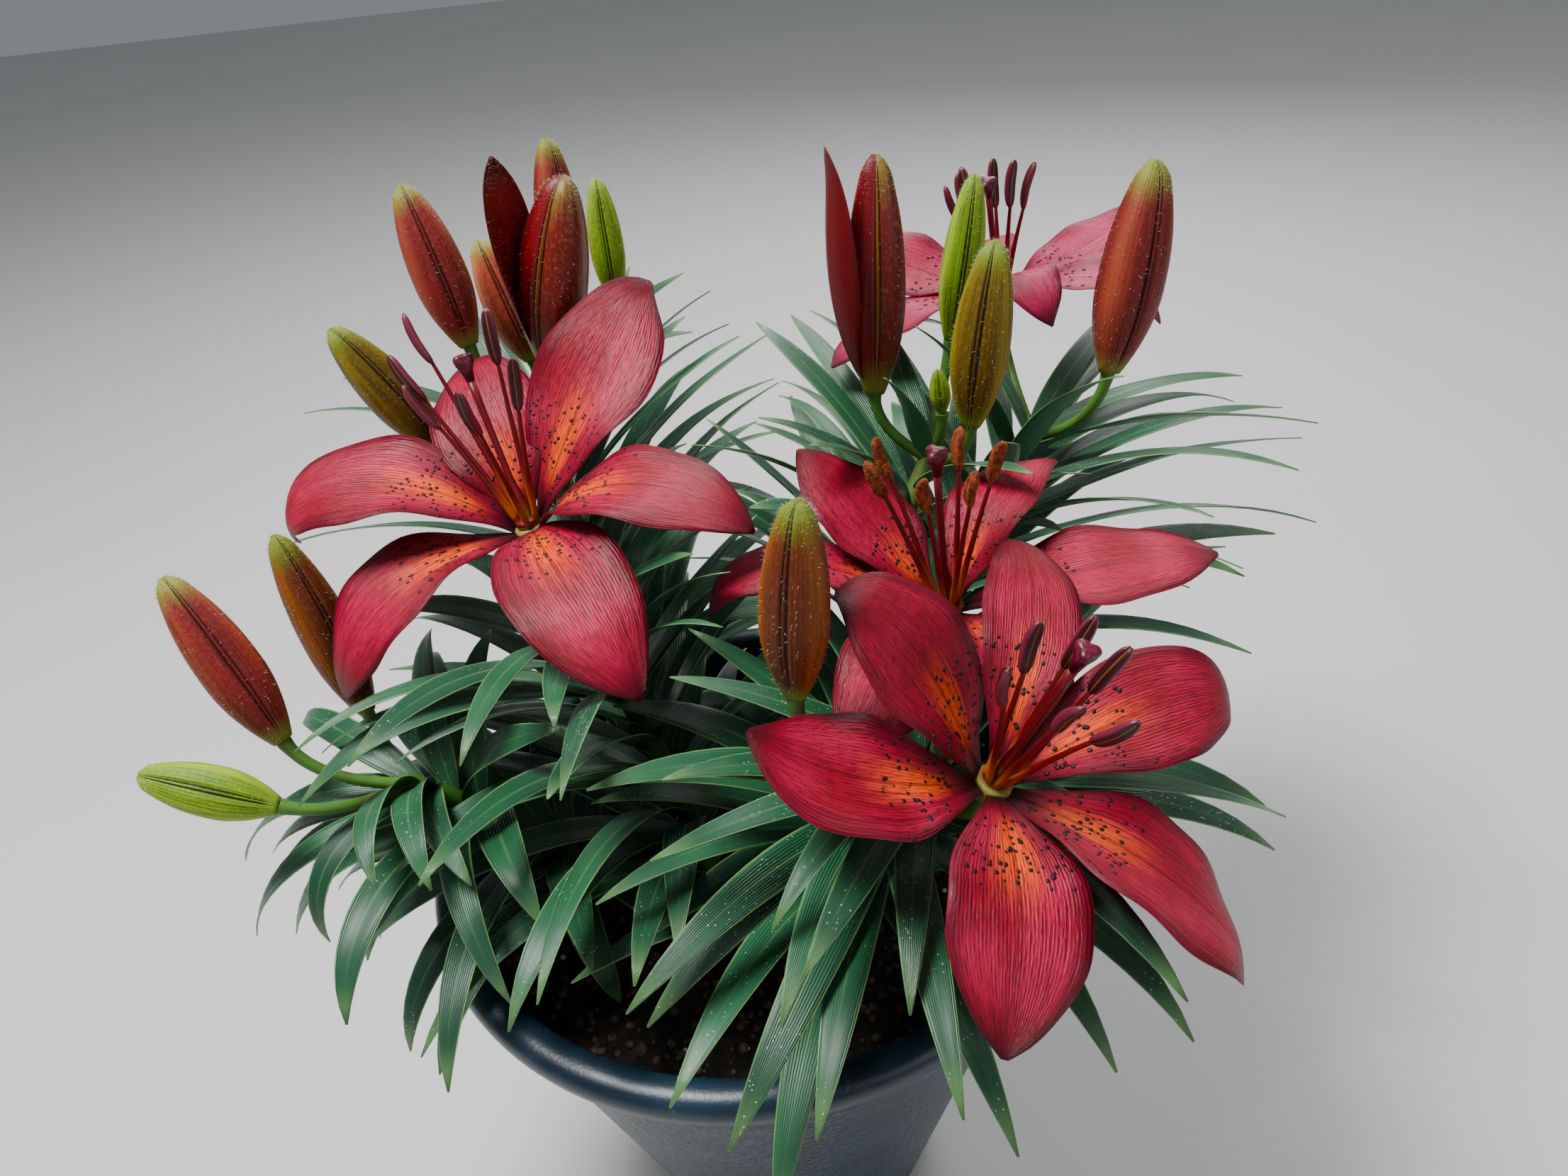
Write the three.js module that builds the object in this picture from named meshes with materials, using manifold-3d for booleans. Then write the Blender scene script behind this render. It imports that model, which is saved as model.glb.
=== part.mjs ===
// A potted Asiatic lily: six leafy stems, four open blooms, two opening buds and thirteen buds
// in a round plastic pot of soil. Millimetres, +Z up, origin at the middle of the pot's base.

import * as THREE from 'three';
import { mergeVertices } from 'three/addons/utils/BufferGeometryUtils.js';
import loadManifold from 'manifold-3d';

const wasm = await loadManifold();
wasm.setup();

// Driving sizes

const gap = 0.35; // clearance between pieces that touch
const bladeThickness = 0.8;

const rimRadius = 125;
const rimTop = 206;
const neckRadius = 116; // pot wall just under the rim
const footRadius = 64;
const wall = 3.4;
const potSides = 28;

const soilEdge = 185.5; // soil level at the pot wall
const soilCrown = 190; // soil level in the middle
const bulbRadius = 15;
const bulbFoot = 108; // height of the bulbs' base plates
const stemSides = 6;
const stemFootRadius = 4.6;
const stemTopRadius = 3.4;
const pedicelRadius = 2.1;

const tepalCup = 0.04; // curvature across a tepal at its claw, per millimetre
const tepalTipCup = -0.02;
const tepalRows = 6;
const tepalRoot = 4; // distance of a tepal's claw from the flower's axis
const bossRadius = 6;
const bossDepth = 9;

const leafRows = 4;
const shortLeaf = 110; // leaves shorter than this have a row less
const shortSpacing = 1.26; // and their rows lie nearer to the stem
const leafRoot = -1.8; // a leaf's pointed foot lies past the stem's middle
const flushes = [ // the leaves tried on each stem, and the order in which the stems grow them
  { counts: [42, 42, 42, 42, 42, 42], order: [4, 5, 3, 1, 0, 2], seed: 101, turn: 0 },
  { counts: [12, 60, 16, 8, 6, 36], order: [1, 5, 3, 0, 2, 4], seed: 201, turn: 70 },
];
const goldenAngle = 137.5;
const leafClearance = 4.2; // from anything that belongs to another node
const leafSpacing = 3.2; // from leaves of the same stem

// Colours

const potBlue = 0x2c4a60;
const soilBrown = 0x241a14;
const leafGreen = 0x2f6b3a;
const tepalRed = 0xb0203f;
const filamentRed = 0x6e1020;
const styleRed = 0x7a1a3a;
const budColours = { red: 0x8a3028, brown: 0x7d4a22, olive: 0x8a7a24, green: 0xa6bf2c, pink: 0xb06048 };

const DEG = Math.PI / 180;
const X = new THREE.Vector3(1, 0, 0);
const Z = new THREE.Vector3(0, 0, 1);
const vec = (x, y, z) => new THREE.Vector3(x, y, z);
const lerp = THREE.MathUtils.lerp;
const clamp = THREE.MathUtils.clamp;

// A small seeded generator, so that the plant grows the same way each time.
function seeded(seed) {
  let state = seed >>> 0;
  return () => {
    state = (state + 0x6d2b79f5) >>> 0;
    let mixed = Math.imul(state ^ (state >>> 15), 1 | state);
    mixed = (mixed + Math.imul(mixed ^ (mixed >>> 7), 61 | mixed)) ^ mixed;
    return ((mixed ^ (mixed >>> 14)) >>> 0) / 4294967296;
  };
}

// Solids

function solidOf(geometry) {
  const bare = geometry.index ? geometry.toNonIndexed() : geometry.clone();
  bare.deleteAttribute('normal');
  bare.deleteAttribute('uv');
  const merged = mergeVertices(bare, 1e-3);
  const vertProperties = new Float32Array(merged.attributes.position.array);
  const corners = Array.from(merged.index.array);
  const kept = [];
  for (let i = 0; i < corners.length; i += 3) {
    const [a, b, c] = corners.slice(i, i + 3);
    if (a !== b && b !== c && c !== a) kept.push(a, b, c);
  }
  const triVerts = new Uint32Array(kept);
  return new wasm.Manifold(new wasm.Mesh({ numProp: 3, vertProperties, triVerts }));
}

function geometryOf(solid) {
  const { vertProperties, triVerts } = solid.getMesh();
  const geometry = new THREE.BufferGeometry();
  geometry.setAttribute('position', new THREE.BufferAttribute(new Float32Array(vertProperties), 3));
  geometry.setIndex(new THREE.BufferAttribute(new Uint32Array(triVerts), 1));
  geometry.computeVertexNormals();
  return geometry;
}

function indexedGeometry(points, triangles) {
  const geometry = new THREE.BufferGeometry();
  const flat = points.flatMap((p) => p.toArray());
  geometry.setAttribute('position', new THREE.Float32BufferAttribute(flat, 3));
  geometry.setIndex(triangles);
  return geometry;
}

// Joins rings of equal count, listed along their axis, each running anticlockwise about it.
function loft(rings) {
  const sides = rings[0].length;
  const points = rings.flat();
  const triangles = [];
  for (let ring = 0; ring + 1 < rings.length; ring += 1) {
    for (let side = 0; side < sides; side += 1) {
      const next = (side + 1) % sides;
      const low = ring * sides;
      const high = low + sides;
      triangles.push(low + side, low + next, high + next, low + side, high + next, high + side);
    }
  }
  const last = (rings.length - 1) * sides;
  for (let side = 1; side + 1 < sides; side += 1) {
    triangles.push(0, side + 1, side, last, last + side, last + side + 1);
  }
  return solidOf(indexedGeometry(points, triangles));
}

// Thickens a grid of points, split into triangles alike on both faces. Its last row is one point.
function sheet(rows, normals, thickness) {
  const across = rows[0].length;
  const last = rows.length - 1;
  const face = (side) => rows.flatMap((row, i) => row.map((p, j) =>
    (i === last ? p.clone() : p.clone().addScaledVector(normals[i][j], side * thickness / 2))));
  const points = [...face(1), ...face(-1)];
  const under = rows.length * across;
  const triangles = [];
  const quad = (a, b, c, d) => triangles.push(a, b, c, a, c, d);
  for (let i = 0; i + 1 < rows.length; i += 1) {
    for (let j = 0; j + 1 < across; j += 1) {
      const a = i * across + j;
      const [b, c, d] = [a + across, a + across + 1, a + 1];
      quad(a, b, c, d);
      triangles.push(a + under, c + under, b + under, a + under, d + under, c + under);
    }
    const left = i * across;
    const right = left + across - 1;
    quad(left, left + under, left + across + under, left + across);
    quad(right + across, right + across + under, right + under, right);
  }
  for (let j = 0; j + 1 < across; j += 1) quad(j + 1, j + 1 + under, j + under, j);
  return solidOf(indexedGeometry(points, triangles));
}

// Two unit vectors square to an axis, the first as near +X as it can be.
function frameOf(axis) {
  const along = axis.clone().normalize();
  const u = X.clone().addScaledVector(along, -along.x).normalize();
  const v = along.clone().cross(u);
  return { along, u, v };
}

// A ring of points about an axis, with its radius given as a function of the angle.
function ringAbout(centre, axis, sides, radiusAt) {
  const { u, v } = frameOf(axis);
  return Array.from({ length: sides }, (_, side) => {
    const angle = side / sides * 2 * Math.PI;
    return centre.clone().addScaledVector(u, Math.cos(angle) * radiusAt(angle))
      .addScaledVector(v, Math.sin(angle) * radiusAt(angle));
  });
}

// A round bar along a curve, tapering from its first radius to its last.
function taperedBar(curve, firstRadius, lastRadius, sides, steps, start = 0, end = 1) {
  const rings = Array.from({ length: steps + 1 }, (_, i) => {
    const t = lerp(start, end, i / steps);
    const radius = lerp(firstRadius, lastRadius, i / steps);
    return ringAbout(curve.getPoint(t), curve.getTangent(t), sides, () => radius);
  });
  return loft(rings);
}

const union = (solids) => wasm.Manifold.union(solids);

// Blades: one formula shapes every tepal and leaf

const tepalWidth = (t) => {
  const rising = 0.12 + 0.88 * Math.sin(Math.min(t / 0.52, 1) * Math.PI / 2) ** 1.4;
  const falling = (1 - clamp((t - 0.54) / 0.46, 0, 1) ** 2) ** 0.78;
  return rising * falling;
};

const leafWidth = (t) => {
  const rising = Math.sin(Math.min(t / 0.36, 1) * Math.PI / 2) ** 0.8;
  const falling = (1 - clamp((t - 0.4) / 0.6, 0, 1) ** 2) ** 0.8;
  return rising * falling;
};

// Rows of points and normals of a blade that leaves its axis at the angle rise and bends to the
// angle droop, both in degrees from the axis. Sway turns it sideways and twist turns it over.
function bladeRows(origin, axis, blade, rowCount, columns) {
  const { azimuth, rise, droop, length, width, ease = 1.3, sway = 0, twist = 0 } = blade;
  const { curl = 0, curlFrom = 0.7, root = tepalRoot, lift = 0, widthAt = tepalWidth } = blade;
  const { cup = tepalCup, tipCup = tepalTipCup, spacing = 1 } = blade;
  const { along, u, v } = frameOf(axis);
  const outward = (turn) => u.clone().multiplyScalar(Math.cos(turn)).addScaledVector(v, Math.sin(turn));
  const heading = (t) => {
    const turn = (azimuth + sway * t * t) * DEG;
    const late = Math.max(0, (t - curlFrom) / (1 - curlFrom));
    const lean = (rise + (droop - rise) * t ** ease + curl * late * late) * DEG;
    const direction = outward(turn).multiplyScalar(Math.sin(lean)).addScaledVector(along, Math.cos(lean));
    const side = u.clone().multiplyScalar(-Math.sin(turn)).addScaledVector(v, Math.cos(turn));
    return { direction, side };
  };
  const steps = 48;
  const spine = [origin.clone().addScaledVector(outward(azimuth * DEG), root).addScaledVector(along, lift)];
  for (let step = 0; step < steps; step += 1) {
    const { direction } = heading((step + 0.5) / steps);
    spine.push(spine[step].clone().addScaledVector(direction, length / steps));
  }
  const rows = [];
  const normals = [];
  for (let row = 0; row <= rowCount; row += 1) {
    const t = (row / rowCount) ** spacing;
    const whole = Math.min(Math.floor(t * steps), steps - 1);
    const centre = spine[whole].clone().lerp(spine[whole + 1], t * steps - whole);
    const { direction, side } = heading(t);
    const up = direction.clone().cross(side);
    const turned = twist * t * DEG;
    const across = side.clone().multiplyScalar(Math.cos(turned)).addScaledVector(up, Math.sin(turned));
    const normal = up.clone().multiplyScalar(Math.cos(turned)).addScaledVector(side, -Math.sin(turned));
    const half = row === rowCount ? 0 : width / 2 * widthAt(t);
    const bend = lerp(cup, tipCup, t);
    const line = [];
    const lineNormals = [];
    for (let column = 0; column <= columns; column += 1) {
      const reach = half * (2 * column / columns - 1);
      const flat = Math.abs(bend) < 1e-4;
      const wide = flat ? reach : Math.sin(bend * reach) / bend;
      const high = flat ? 0 : (1 - Math.cos(bend * reach)) / bend;
      line.push(centre.clone().addScaledVector(across, wide).addScaledVector(normal, high));
      const tilt = bend * reach;
      const square = normal.clone().multiplyScalar(Math.cos(tilt));
      lineNormals.push(square.addScaledVector(across, -Math.sin(tilt)));
    }
    rows.push(line);
    normals.push(lineNormals);
  }
  return { rows, normals };
}

function bladeSolid(origin, axis, blade, rowCount, columns) {
  const { rows, normals } = bladeRows(origin, axis, blade, rowCount, columns);
  return sheet(rows, normals, bladeThickness);
}

// The pot and its soil

function potRadiusAt(height) {
  return lerp(footRadius, neckRadius, (height - 3) / (rimTop - 19));
}

function lathe(profile) {
  const points = profile.map(([radius, height]) => new THREE.Vector2(radius, height));
  return solidOf(new THREE.LatheGeometry(points, potSides).rotateX(Math.PI / 2));
}

function makePot() {
  const rimFoot = rimTop - 16;
  const floor = 4.2;
  return lathe([
    [0, 0], [footRadius - 3, 0], [footRadius, 3], [neckRadius, rimFoot],
    [rimRadius - 2, rimTop - 11.5], [rimRadius, rimTop - 6], [rimRadius - 3, rimTop - 1],
    [rimRadius - 9, rimTop], [rimRadius - 12.5, rimTop - 2.5], [neckRadius - wall - 0.4, rimFoot],
    [potRadiusAt(floor) - wall, floor], [0, floor],
  ]);
}

// The stems, from the soil to the top where the flower stalks part. The top leaf's azimuth is
// turn. Lit is the azimuth that the leaves are drawn to, and pull is how strongly. Droop and reach
// change all leaves of the stem.

const stems = [
  { foot: [-40, 50], top: [-72, 105, 335], turn: 20, droop: -18, reach: 1.06, lit: 20, pull: 0.75 },
  { foot: [-64, -15], top: [-116, -26, 266], turn: 75, droop: 36, reach: 0.86, lit: -75, pull: 0.5 },
  { foot: [34, 22], top: [84, 62, 325], turn: 140, droop: -18, reach: 1.08, lit: 150, pull: 0.3 },
  { foot: [58, 46], top: [132, 90, 314], turn: 10, droop: -14, reach: 1.2, lit: 5, pull: 0.5 },
  { foot: [40, -35], top: [64, -54, 270], turn: 220, droop: 14, reach: 1.17, lit: -128, pull: 0.75 },
  { foot: [-16, -22], top: [-50, 12, 292], turn: 310, droop: 10, reach: 1.12, lit: -75, pull: 0.65 },
];

function stemCurve({ foot: [x, y], top }) {
  const base = vec(x, y, soilCrown);
  const end = vec(...top);
  const bend = vec(lerp(x, end.x, 0.25), lerp(y, end.y, 0.25), lerp(soilCrown, end.z, 0.55));
  return new THREE.QuadraticBezierCurve3(base, bend, end);
}

// Rings of the bulb and the buried stem, swollen by a clearance for the hole that they stand in.
function buriedRings({ foot: [x, y] }, clearance) {
  const outline = [[0, 0.45], [8, 0.95], [22, 0.95], [40, 0.33]];
  return outline.map(([height, share]) => {
    const below = height === 0 ? clearance : 0;
    const radius = share * bulbRadius + clearance;
    return ringAbout(vec(x, y, bulbFoot + height - below), Z, stemSides, () => radius);
  });
}

function makeStemBar(stem) {
  const curve = stemCurve(stem);
  const steps = 4;
  const rings = buriedRings(stem, 0);
  rings.push(ringAbout(vec(stem.foot[0], stem.foot[1], soilCrown), Z, stemSides, () => stemFootRadius));
  for (let step = 1; step <= steps; step += 1) {
    const t = step / steps;
    const radius = lerp(stemFootRadius, stemTopRadius, t);
    rings.push(ringAbout(curve.getPoint(t), curve.getTangent(t), stemSides, () => radius));
  }
  return loft(rings);
}

function makeStemHole(stem) {
  const [x, y] = stem.foot;
  const rings = buriedRings(stem, gap);
  const radius = stemFootRadius + gap;
  rings.push(ringAbout(vec(x, y, soilEdge - 4), Z, stemSides, () => radius));
  rings.push(ringAbout(vec(x, y, soilCrown + 6), Z, stemSides, () => radius + 0.4));
  return loft(rings);
}

function makeSoil() {
  const floor = 4.2 + gap;
  const innerRadius = (height) => potRadiusAt(height) - wall - 0.5;
  const body = lathe([
    [0, floor], [innerRadius(floor), floor], [innerRadius(soilEdge), soilEdge],
    [innerRadius(soilEdge) - 3, soilEdge + 1], [80, soilEdge + 2.2], [40, soilCrown - 1], [0, soilCrown],
  ]);
  return body.subtract(union(stems.map(makeStemHole)));
}

// Open blooms. Each tepal's azimuth is in degrees about the flower's axis, and each stamen is
// given as its azimuth, its lean from the axis and its length.

const blooms = {
  a: {
    centre: [-65, 29, 330], axis: [-0.2, 0.05, 0.97], stem: 5,
    tepals: [
      { azimuth: 32, rise: 34, droop: 61, length: 97, width: 47, ease: 0.6, sway: 12, twist: 50,
        curl: 40, curlFrom: 0.8 },
      { azimuth: -30, rise: 50, droop: 143, length: 97, width: 38, ease: 1.15, sway: 13, twist: 11,
        curl: 10 },
      { azimuth: -71, rise: 56, droop: 147, length: 100, width: 42, ease: 0.8, sway: 16, twist: -10,
        curl: 10 },
      { azimuth: -149, rise: 72, droop: 165, length: 92, width: 44, ease: 1.7, sway: -10, twist: -20 },
      { azimuth: 171, rise: 39, droop: 128, length: 103, width: 46, ease: 1.5, sway: 15, twist: -22,
        curl: 90, curlFrom: 0.74 },
      { azimuth: 104, rise: 30, droop: 74, length: 78, width: 42, sway: -6, twist: -10, curl: 30 },
    ],
    stamens: [[124, 19, 74], [152, 21, 65], [166, 20, 55], [35, 15, 68], [-15, 21, 56], [-77, 20, 55]],
    pistil: [90, 12, 62],
  },
  b: {
    centre: [76, -89, 298], axis: [0.36, -0.12, 0.92], stem: 4,
    tepals: [
      { azimuth: 196, rise: 82, droop: 77, length: 76, width: 45, ease: 1.5, sway: -40, twist: 3 },
      { azimuth: 152, rise: 42, droop: 80, length: 74, width: 44, ease: 2, sway: 8, twist: -19,
        curl: 45, curlFrom: 0.75 },
      { azimuth: 77, rise: 22, droop: 102, length: 87, width: 31, ease: 0.9, sway: 17, twist: -8, curl: 20 },
      { azimuth: 18, rise: 48, droop: 116, length: 90, width: 36, ease: 1.65, sway: 3, twist: 33,
        curl: 45, curlFrom: 0.75 },
      { azimuth: -41, rise: 70, droop: 131, length: 86, width: 46, ease: 1.8, sway: 5, twist: -17,
        curl: 50, curlFrom: 0.8 },
      { azimuth: -95, rise: 70, droop: 134, length: 78, width: 42, ease: 1.1, sway: -4, twist: -4 },
    ],
    stamens: [[-172, 15, 56], [-148, 28, 56], [60, 6, 54], [-40, 11, 56], [-107, 26, 56], [-76, 27, 56]],
    pistil: [-112, 9, 63],
  },
  c: {
    centre: [75, -16, 308], axis: [-0.03, 0.05, 1], stem: 4,
    tepals: [
      { azimuth: 134, rise: 44, droop: 58, length: 72, width: 37, ease: 1.6, sway: 3, twist: 2, curl: 10 },
      { azimuth: 45, rise: 34, droop: 132, length: 74, width: 34, ease: 1.9, sway: 4, twist: -20 },
      { azimuth: -10, rise: 68, droop: 95, length: 84, width: 43, ease: 1.5, sway: 2, twist: 6 },
      { azimuth: -62, rise: 82, droop: 165, length: 62, width: 34 },
      { azimuth: -116, rise: 54, droop: 128, length: 78, width: 38, ease: 0.9, sway: -18 },
      { azimuth: 175, rise: 54, droop: 158, length: 90, width: 31, ease: 2.3, sway: 7, twist: -3, curl: 20 },
    ],
    stamens: [[-170, 22, 56], [150, 20, 56], [-110, 22, 56], [20, 9, 56], [-68, 22, 56], [-15, 20, 56]],
    anther: 15, // open and shrunk
    pistil: [-100, 10, 63],
  },
  d: {
    centre: [123, 130, 356], axis: [-0.1, 0.02, 0.99], stem: 3,
    tepals: [
      { azimuth: 160, rise: 61, droop: 74, length: 64, width: 35, ease: 1.55, sway: -13, twist: -40 },
      { azimuth: 207, rise: 70, droop: 118, length: 82, width: 33, ease: 1.5, sway: 4, twist: 8 },
      { azimuth: -88, rise: 37, droop: 172, length: 62, width: 31, ease: 1.7, sway: 34, twist: -13 },
      { azimuth: -21, rise: 73, droop: 170, length: 70, width: 30, ease: 2, sway: -7 },
      { azimuth: 24, rise: 82, droop: 78, length: 79, width: 31, ease: 1.3, sway: 8, twist: 16 },
      { azimuth: 90, rise: 58, droop: 150, length: 72, width: 34 },
    ],
    stamens: [[-150, 24, 46], [-165, 15, 45], [-50, 16, 48], [-20, 22, 46], [60, 12, 44], [140, 14, 44]],
    pistil: [-100, 12, 50],
  },
};

const tepalLift = -2; // claws start inside the boss

function makeTepals({ centre, axis, tepals }) {
  const origin = vec(...centre);
  const along = vec(...axis).normalize();
  const boss = loft([
    ringAbout(origin.clone().addScaledVector(along, -bossDepth), along, 6, () => pedicelRadius + 0.5),
    ringAbout(origin.clone().addScaledVector(along, -4), along, 6, () => bossRadius * 0.8),
    ringAbout(origin.clone().addScaledVector(along, -1), along, 6, () => bossRadius),
    ringAbout(origin, along, 6, () => bossRadius - 0.6),
  ]);
  const blades = tepals.map((tepal) =>
    bladeSolid(origin, along, { lift: tepalLift, ...tepal }, tepalRows, 2));
  return union([boss, ...blades]);
}

// A direction about a flower's axis, given by its azimuth and its lean in degrees.
function leaning(axis, azimuth, lean) {
  const { along, u, v } = frameOf(axis);
  return along.clone().multiplyScalar(Math.cos(lean * DEG))
    .addScaledVector(u, Math.sin(lean * DEG) * Math.cos(azimuth * DEG))
    .addScaledVector(v, Math.sin(lean * DEG) * Math.sin(azimuth * DEG));
}

// A filament rises along the axis and then leans out to its end.
function filamentCurve(origin, axis, azimuth, lean, length, root) {
  const base = origin.clone().addScaledVector(leaning(axis, azimuth, 90), root);
  const end = origin.clone().addScaledVector(leaning(axis, azimuth, lean), length);
  const bend = base.clone().lerp(end, 0.4).addScaledVector(axis, 3);
  return new THREE.QuadraticBezierCurve3(base, bend, end);
}

const ringInner = 3;
const ringOuter = 4.3;
const ringTop = 2.4;
const filamentRadius = 0.95;
const closedAnther = 19.5;

function makeStamens({ centre, axis, stamens, anther = closedAnther }) {
  const along = vec(...axis).normalize();
  const origin = vec(...centre).addScaledVector(along, gap);
  const level = (height, radius) =>
    ringAbout(origin.clone().addScaledVector(along, height), along, 6, () => radius);
  const collar = loft([level(0, ringOuter), level(ringTop, ringOuter)])
    .subtract(loft([level(-1, ringInner), level(ringTop + 1, ringInner)]));
  const parts = [collar];
  for (const [azimuth, lean, length] of stamens) {
    const stalk = length - anther / 2;
    const start = origin.clone().addScaledVector(along, ringTop / 2);
    const curve = filamentCurve(start, along, azimuth, lean, stalk, (ringInner + ringOuter) / 2);
    const direction = curve.getTangent(1);
    const stalkRings = [0, 0.5].map((t) =>
      ringAbout(curve.getPoint(t), curve.getTangent(t), 4, () => filamentRadius));
    const outline = [[-anther * 0.15, 1], [anther * 0.08, 2.2], [anther * 0.62, 2.1], [anther * 0.85, 0.9]];
    const antherRings = outline.map(([reach, radius]) =>
      ringAbout(curve.getPoint(1).addScaledVector(direction, reach), direction, 4, () => radius));
    parts.push(loft([...stalkRings, ...antherRings]));
  }
  return union(parts);
}

function makePistil({ centre, axis, pistil: [azimuth, lean, length] }) {
  const along = vec(...axis).normalize();
  const origin = vec(...centre).addScaledVector(along, gap);
  const curve = filamentCurve(origin, along, azimuth, lean, length, 0);
  const profile = [[0, 1.9], [0.22, 2.1], [0.27, 1.3], [0.9, 1.4], [0.95, 3.2], [1, 3]];
  return loft(profile.map(([t, radius]) => {
    const direction = t === 0 ? along : curve.getTangent(t);
    return ringAbout(curve.getPoint(t), direction, 6, () => radius);
  }));
}

// Buds

const budProfile = (t) => {
  const swelling = 0.34 + 0.66 * Math.sin(Math.min(t / 0.42, 1) * Math.PI / 2) ** 0.9;
  const closing = 1 - 0.68 * clamp((t - 0.42) / 0.58, 0, 1) ** 2.3;
  return swelling * closing;
};

const buds = [
  { base: [-87, 98, 371], tip: [-100, 112, 429], width: 22, stem: 0, colour: 'red' },
  { base: [-70, 124, 352], tip: [-82, 132, 400], width: 20, stem: 0, colour: 'pink' },
  { base: [-52, 135, 374], tip: [-50, 145, 432], width: 19, stem: 0, colour: 'red' },
  { base: [-31, 116, 376], tip: [-31, 123, 421], width: 14, stem: 0, colour: 'green' },
  { base: [-102, 72, 344], tip: [-126, 69, 394], width: 20, stem: 0, colour: 'olive' },
  { base: [-136, 10, 270], tip: [-150, 22, 341], width: 20, stem: 1, colour: 'brown' },
  { base: [-150, -26, 290], tip: [-176, -6, 346], width: 21, stem: 1, colour: 'red' },
  { base: [-148, -48, 281], tip: [-188, -45, 298], width: 18, stem: 1, colour: 'green' },
  { base: [22, -75, 326], tip: [28, -73, 388], width: 21, stem: 4, colour: 'brown' },
  { base: [95, 84, 358], tip: [105, 88, 417], width: 16, stem: 2, colour: 'green' },
  { base: [93, 34, 347], tip: [102, 38, 410], width: 21, stem: 2, colour: 'olive' },
  { base: [86, 52, 344], tip: [85, 54, 360], width: 8, stem: 2, colour: 'green' },
  { base: [148, 58, 350], tip: [161, 64, 422], width: 25, stem: 3, colour: 'red' },
];

// A bud's three outer tepals bulge between the three keels of the inner ones.
function makeBud({ base, tip, width, sides = 9, flare = 0.07, turn = 0 }) {
  const start = vec(...base);
  const axis = vec(...tip).sub(start);
  const stations = [0, 0.12, 0.42, 0.75, 0.94, 1];
  return loft(stations.map((t) => {
    const radius = width / 2 * budProfile(t) * (t === 1 ? 0.6 : 1);
    return ringAbout(start.clone().addScaledVector(axis, t), axis, sides,
      (angle) => radius * (1 + flare * Math.cos(3 * (angle - turn * DEG))));
  }));
}

// One outer tepal of each has come away.
const openingBuds = [
  {
    base: [-58, 98, 360], tip: [-39, 95, 430], width: 28, turn: -62, stem: 0,
    tepal: { azimuth: 180, rise: 44, droop: 2, length: 78, width: 28, ease: 0.5, twist: -45, curl: 12 },
  },
  {
    base: [63, 62, 350], tip: [68, 68, 433], width: 22, turn: -31, stem: 2,
    tepal: { azimuth: 195, rise: 44, droop: -10, length: 88, width: 27, ease: 0.5, curl: 24 },
  },
];

function makeOpeningBud({ base, tip, width, turn, tepal }) {
  const start = vec(...base);
  const axis = vec(...tip).sub(start).normalize();
  const core = makeBud({ base, tip, width, turn, flare: 0.1 });
  const blade = { root: 2.2, lift: 2, cup: 0.07, tipCup: 0.06, ...tepal };
  return union([core, bladeSolid(start, axis, blade, tepalRows, 2)]);
}

// Flower stalks from a stem's top to what they carry

function pedicelEnds(index) {
  const ends = [];
  for (const bud of [...buds, ...openingBuds]) {
    if (bud.stem !== index) continue;
    const end = vec(...bud.base);
    ends.push({ end, direction: vec(...bud.tip).sub(end).normalize() });
  }
  for (const bloom of Object.values(blooms)) {
    if (bloom.stem !== index) continue;
    const direction = vec(...bloom.axis).normalize();
    ends.push({ end: vec(...bloom.centre).addScaledVector(direction, -bossDepth), direction });
  }
  return ends;
}

function pedicelCurve(stem, { end, direction }) {
  const top = vec(...stem.top);
  const start = stemCurve(stem).getPoint(0.97);
  const reach = end.distanceTo(top);
  const bend = end.clone().addScaledVector(direction, -0.45 * reach);
  return new THREE.QuadraticBezierCurve3(start, bend, end.clone().addScaledVector(direction, -gap));
}

// Leaves, each kept clear of all that belongs to other nodes

class Crowd {
  constructor() {
    this.points = [];
  }

  add(points, owner) {
    for (const p of points) this.points.push({ p, owner });
  }

  // Whether all points keep clear of what other owners and, past the foot, the same owner have.
  isClear(points, owner, footPoints) {
    const box = new THREE.Box3().setFromPoints(points).expandByScalar(leafClearance);
    const near = this.points.filter(({ p }) => box.containsPoint(p));
    return points.every((q, i) => near.every(({ p, owner: other }) => {
      if (other === owner) return i < footPoints || p.distanceTo(q) > leafSpacing;
      return p.distanceTo(q) > leafClearance;
    }));
  }
}

function hitsPot(p) {
  const radius = Math.hypot(p.x, p.y);
  const clear = 4;
  if (p.z > rimTop + clear) return false;
  if (radius < rimRadius - 15) return p.z < soilCrown + clear;
  const outer = p.z > rimTop - 16 ? rimRadius : potRadiusAt(p.z);
  return radius < outer + clear;
}

// Nudges tried in turn for a leaf that meets something: azimuth, droop and share of its length.
const nudges = [
  [0, 0, 1], [9, 0, 1], [-9, 0, 1], [0, -14, 1], [0, 14, 1], [17, -8, 0.96], [-17, 8, 0.96],
  [0, -26, 0.92], [25, 6, 0.9], [-25, -6, 0.9], [12, 26, 0.85], [-12, -34, 0.8],
  [34, 0, 0.8], [-34, 0, 0.8],
];

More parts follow.
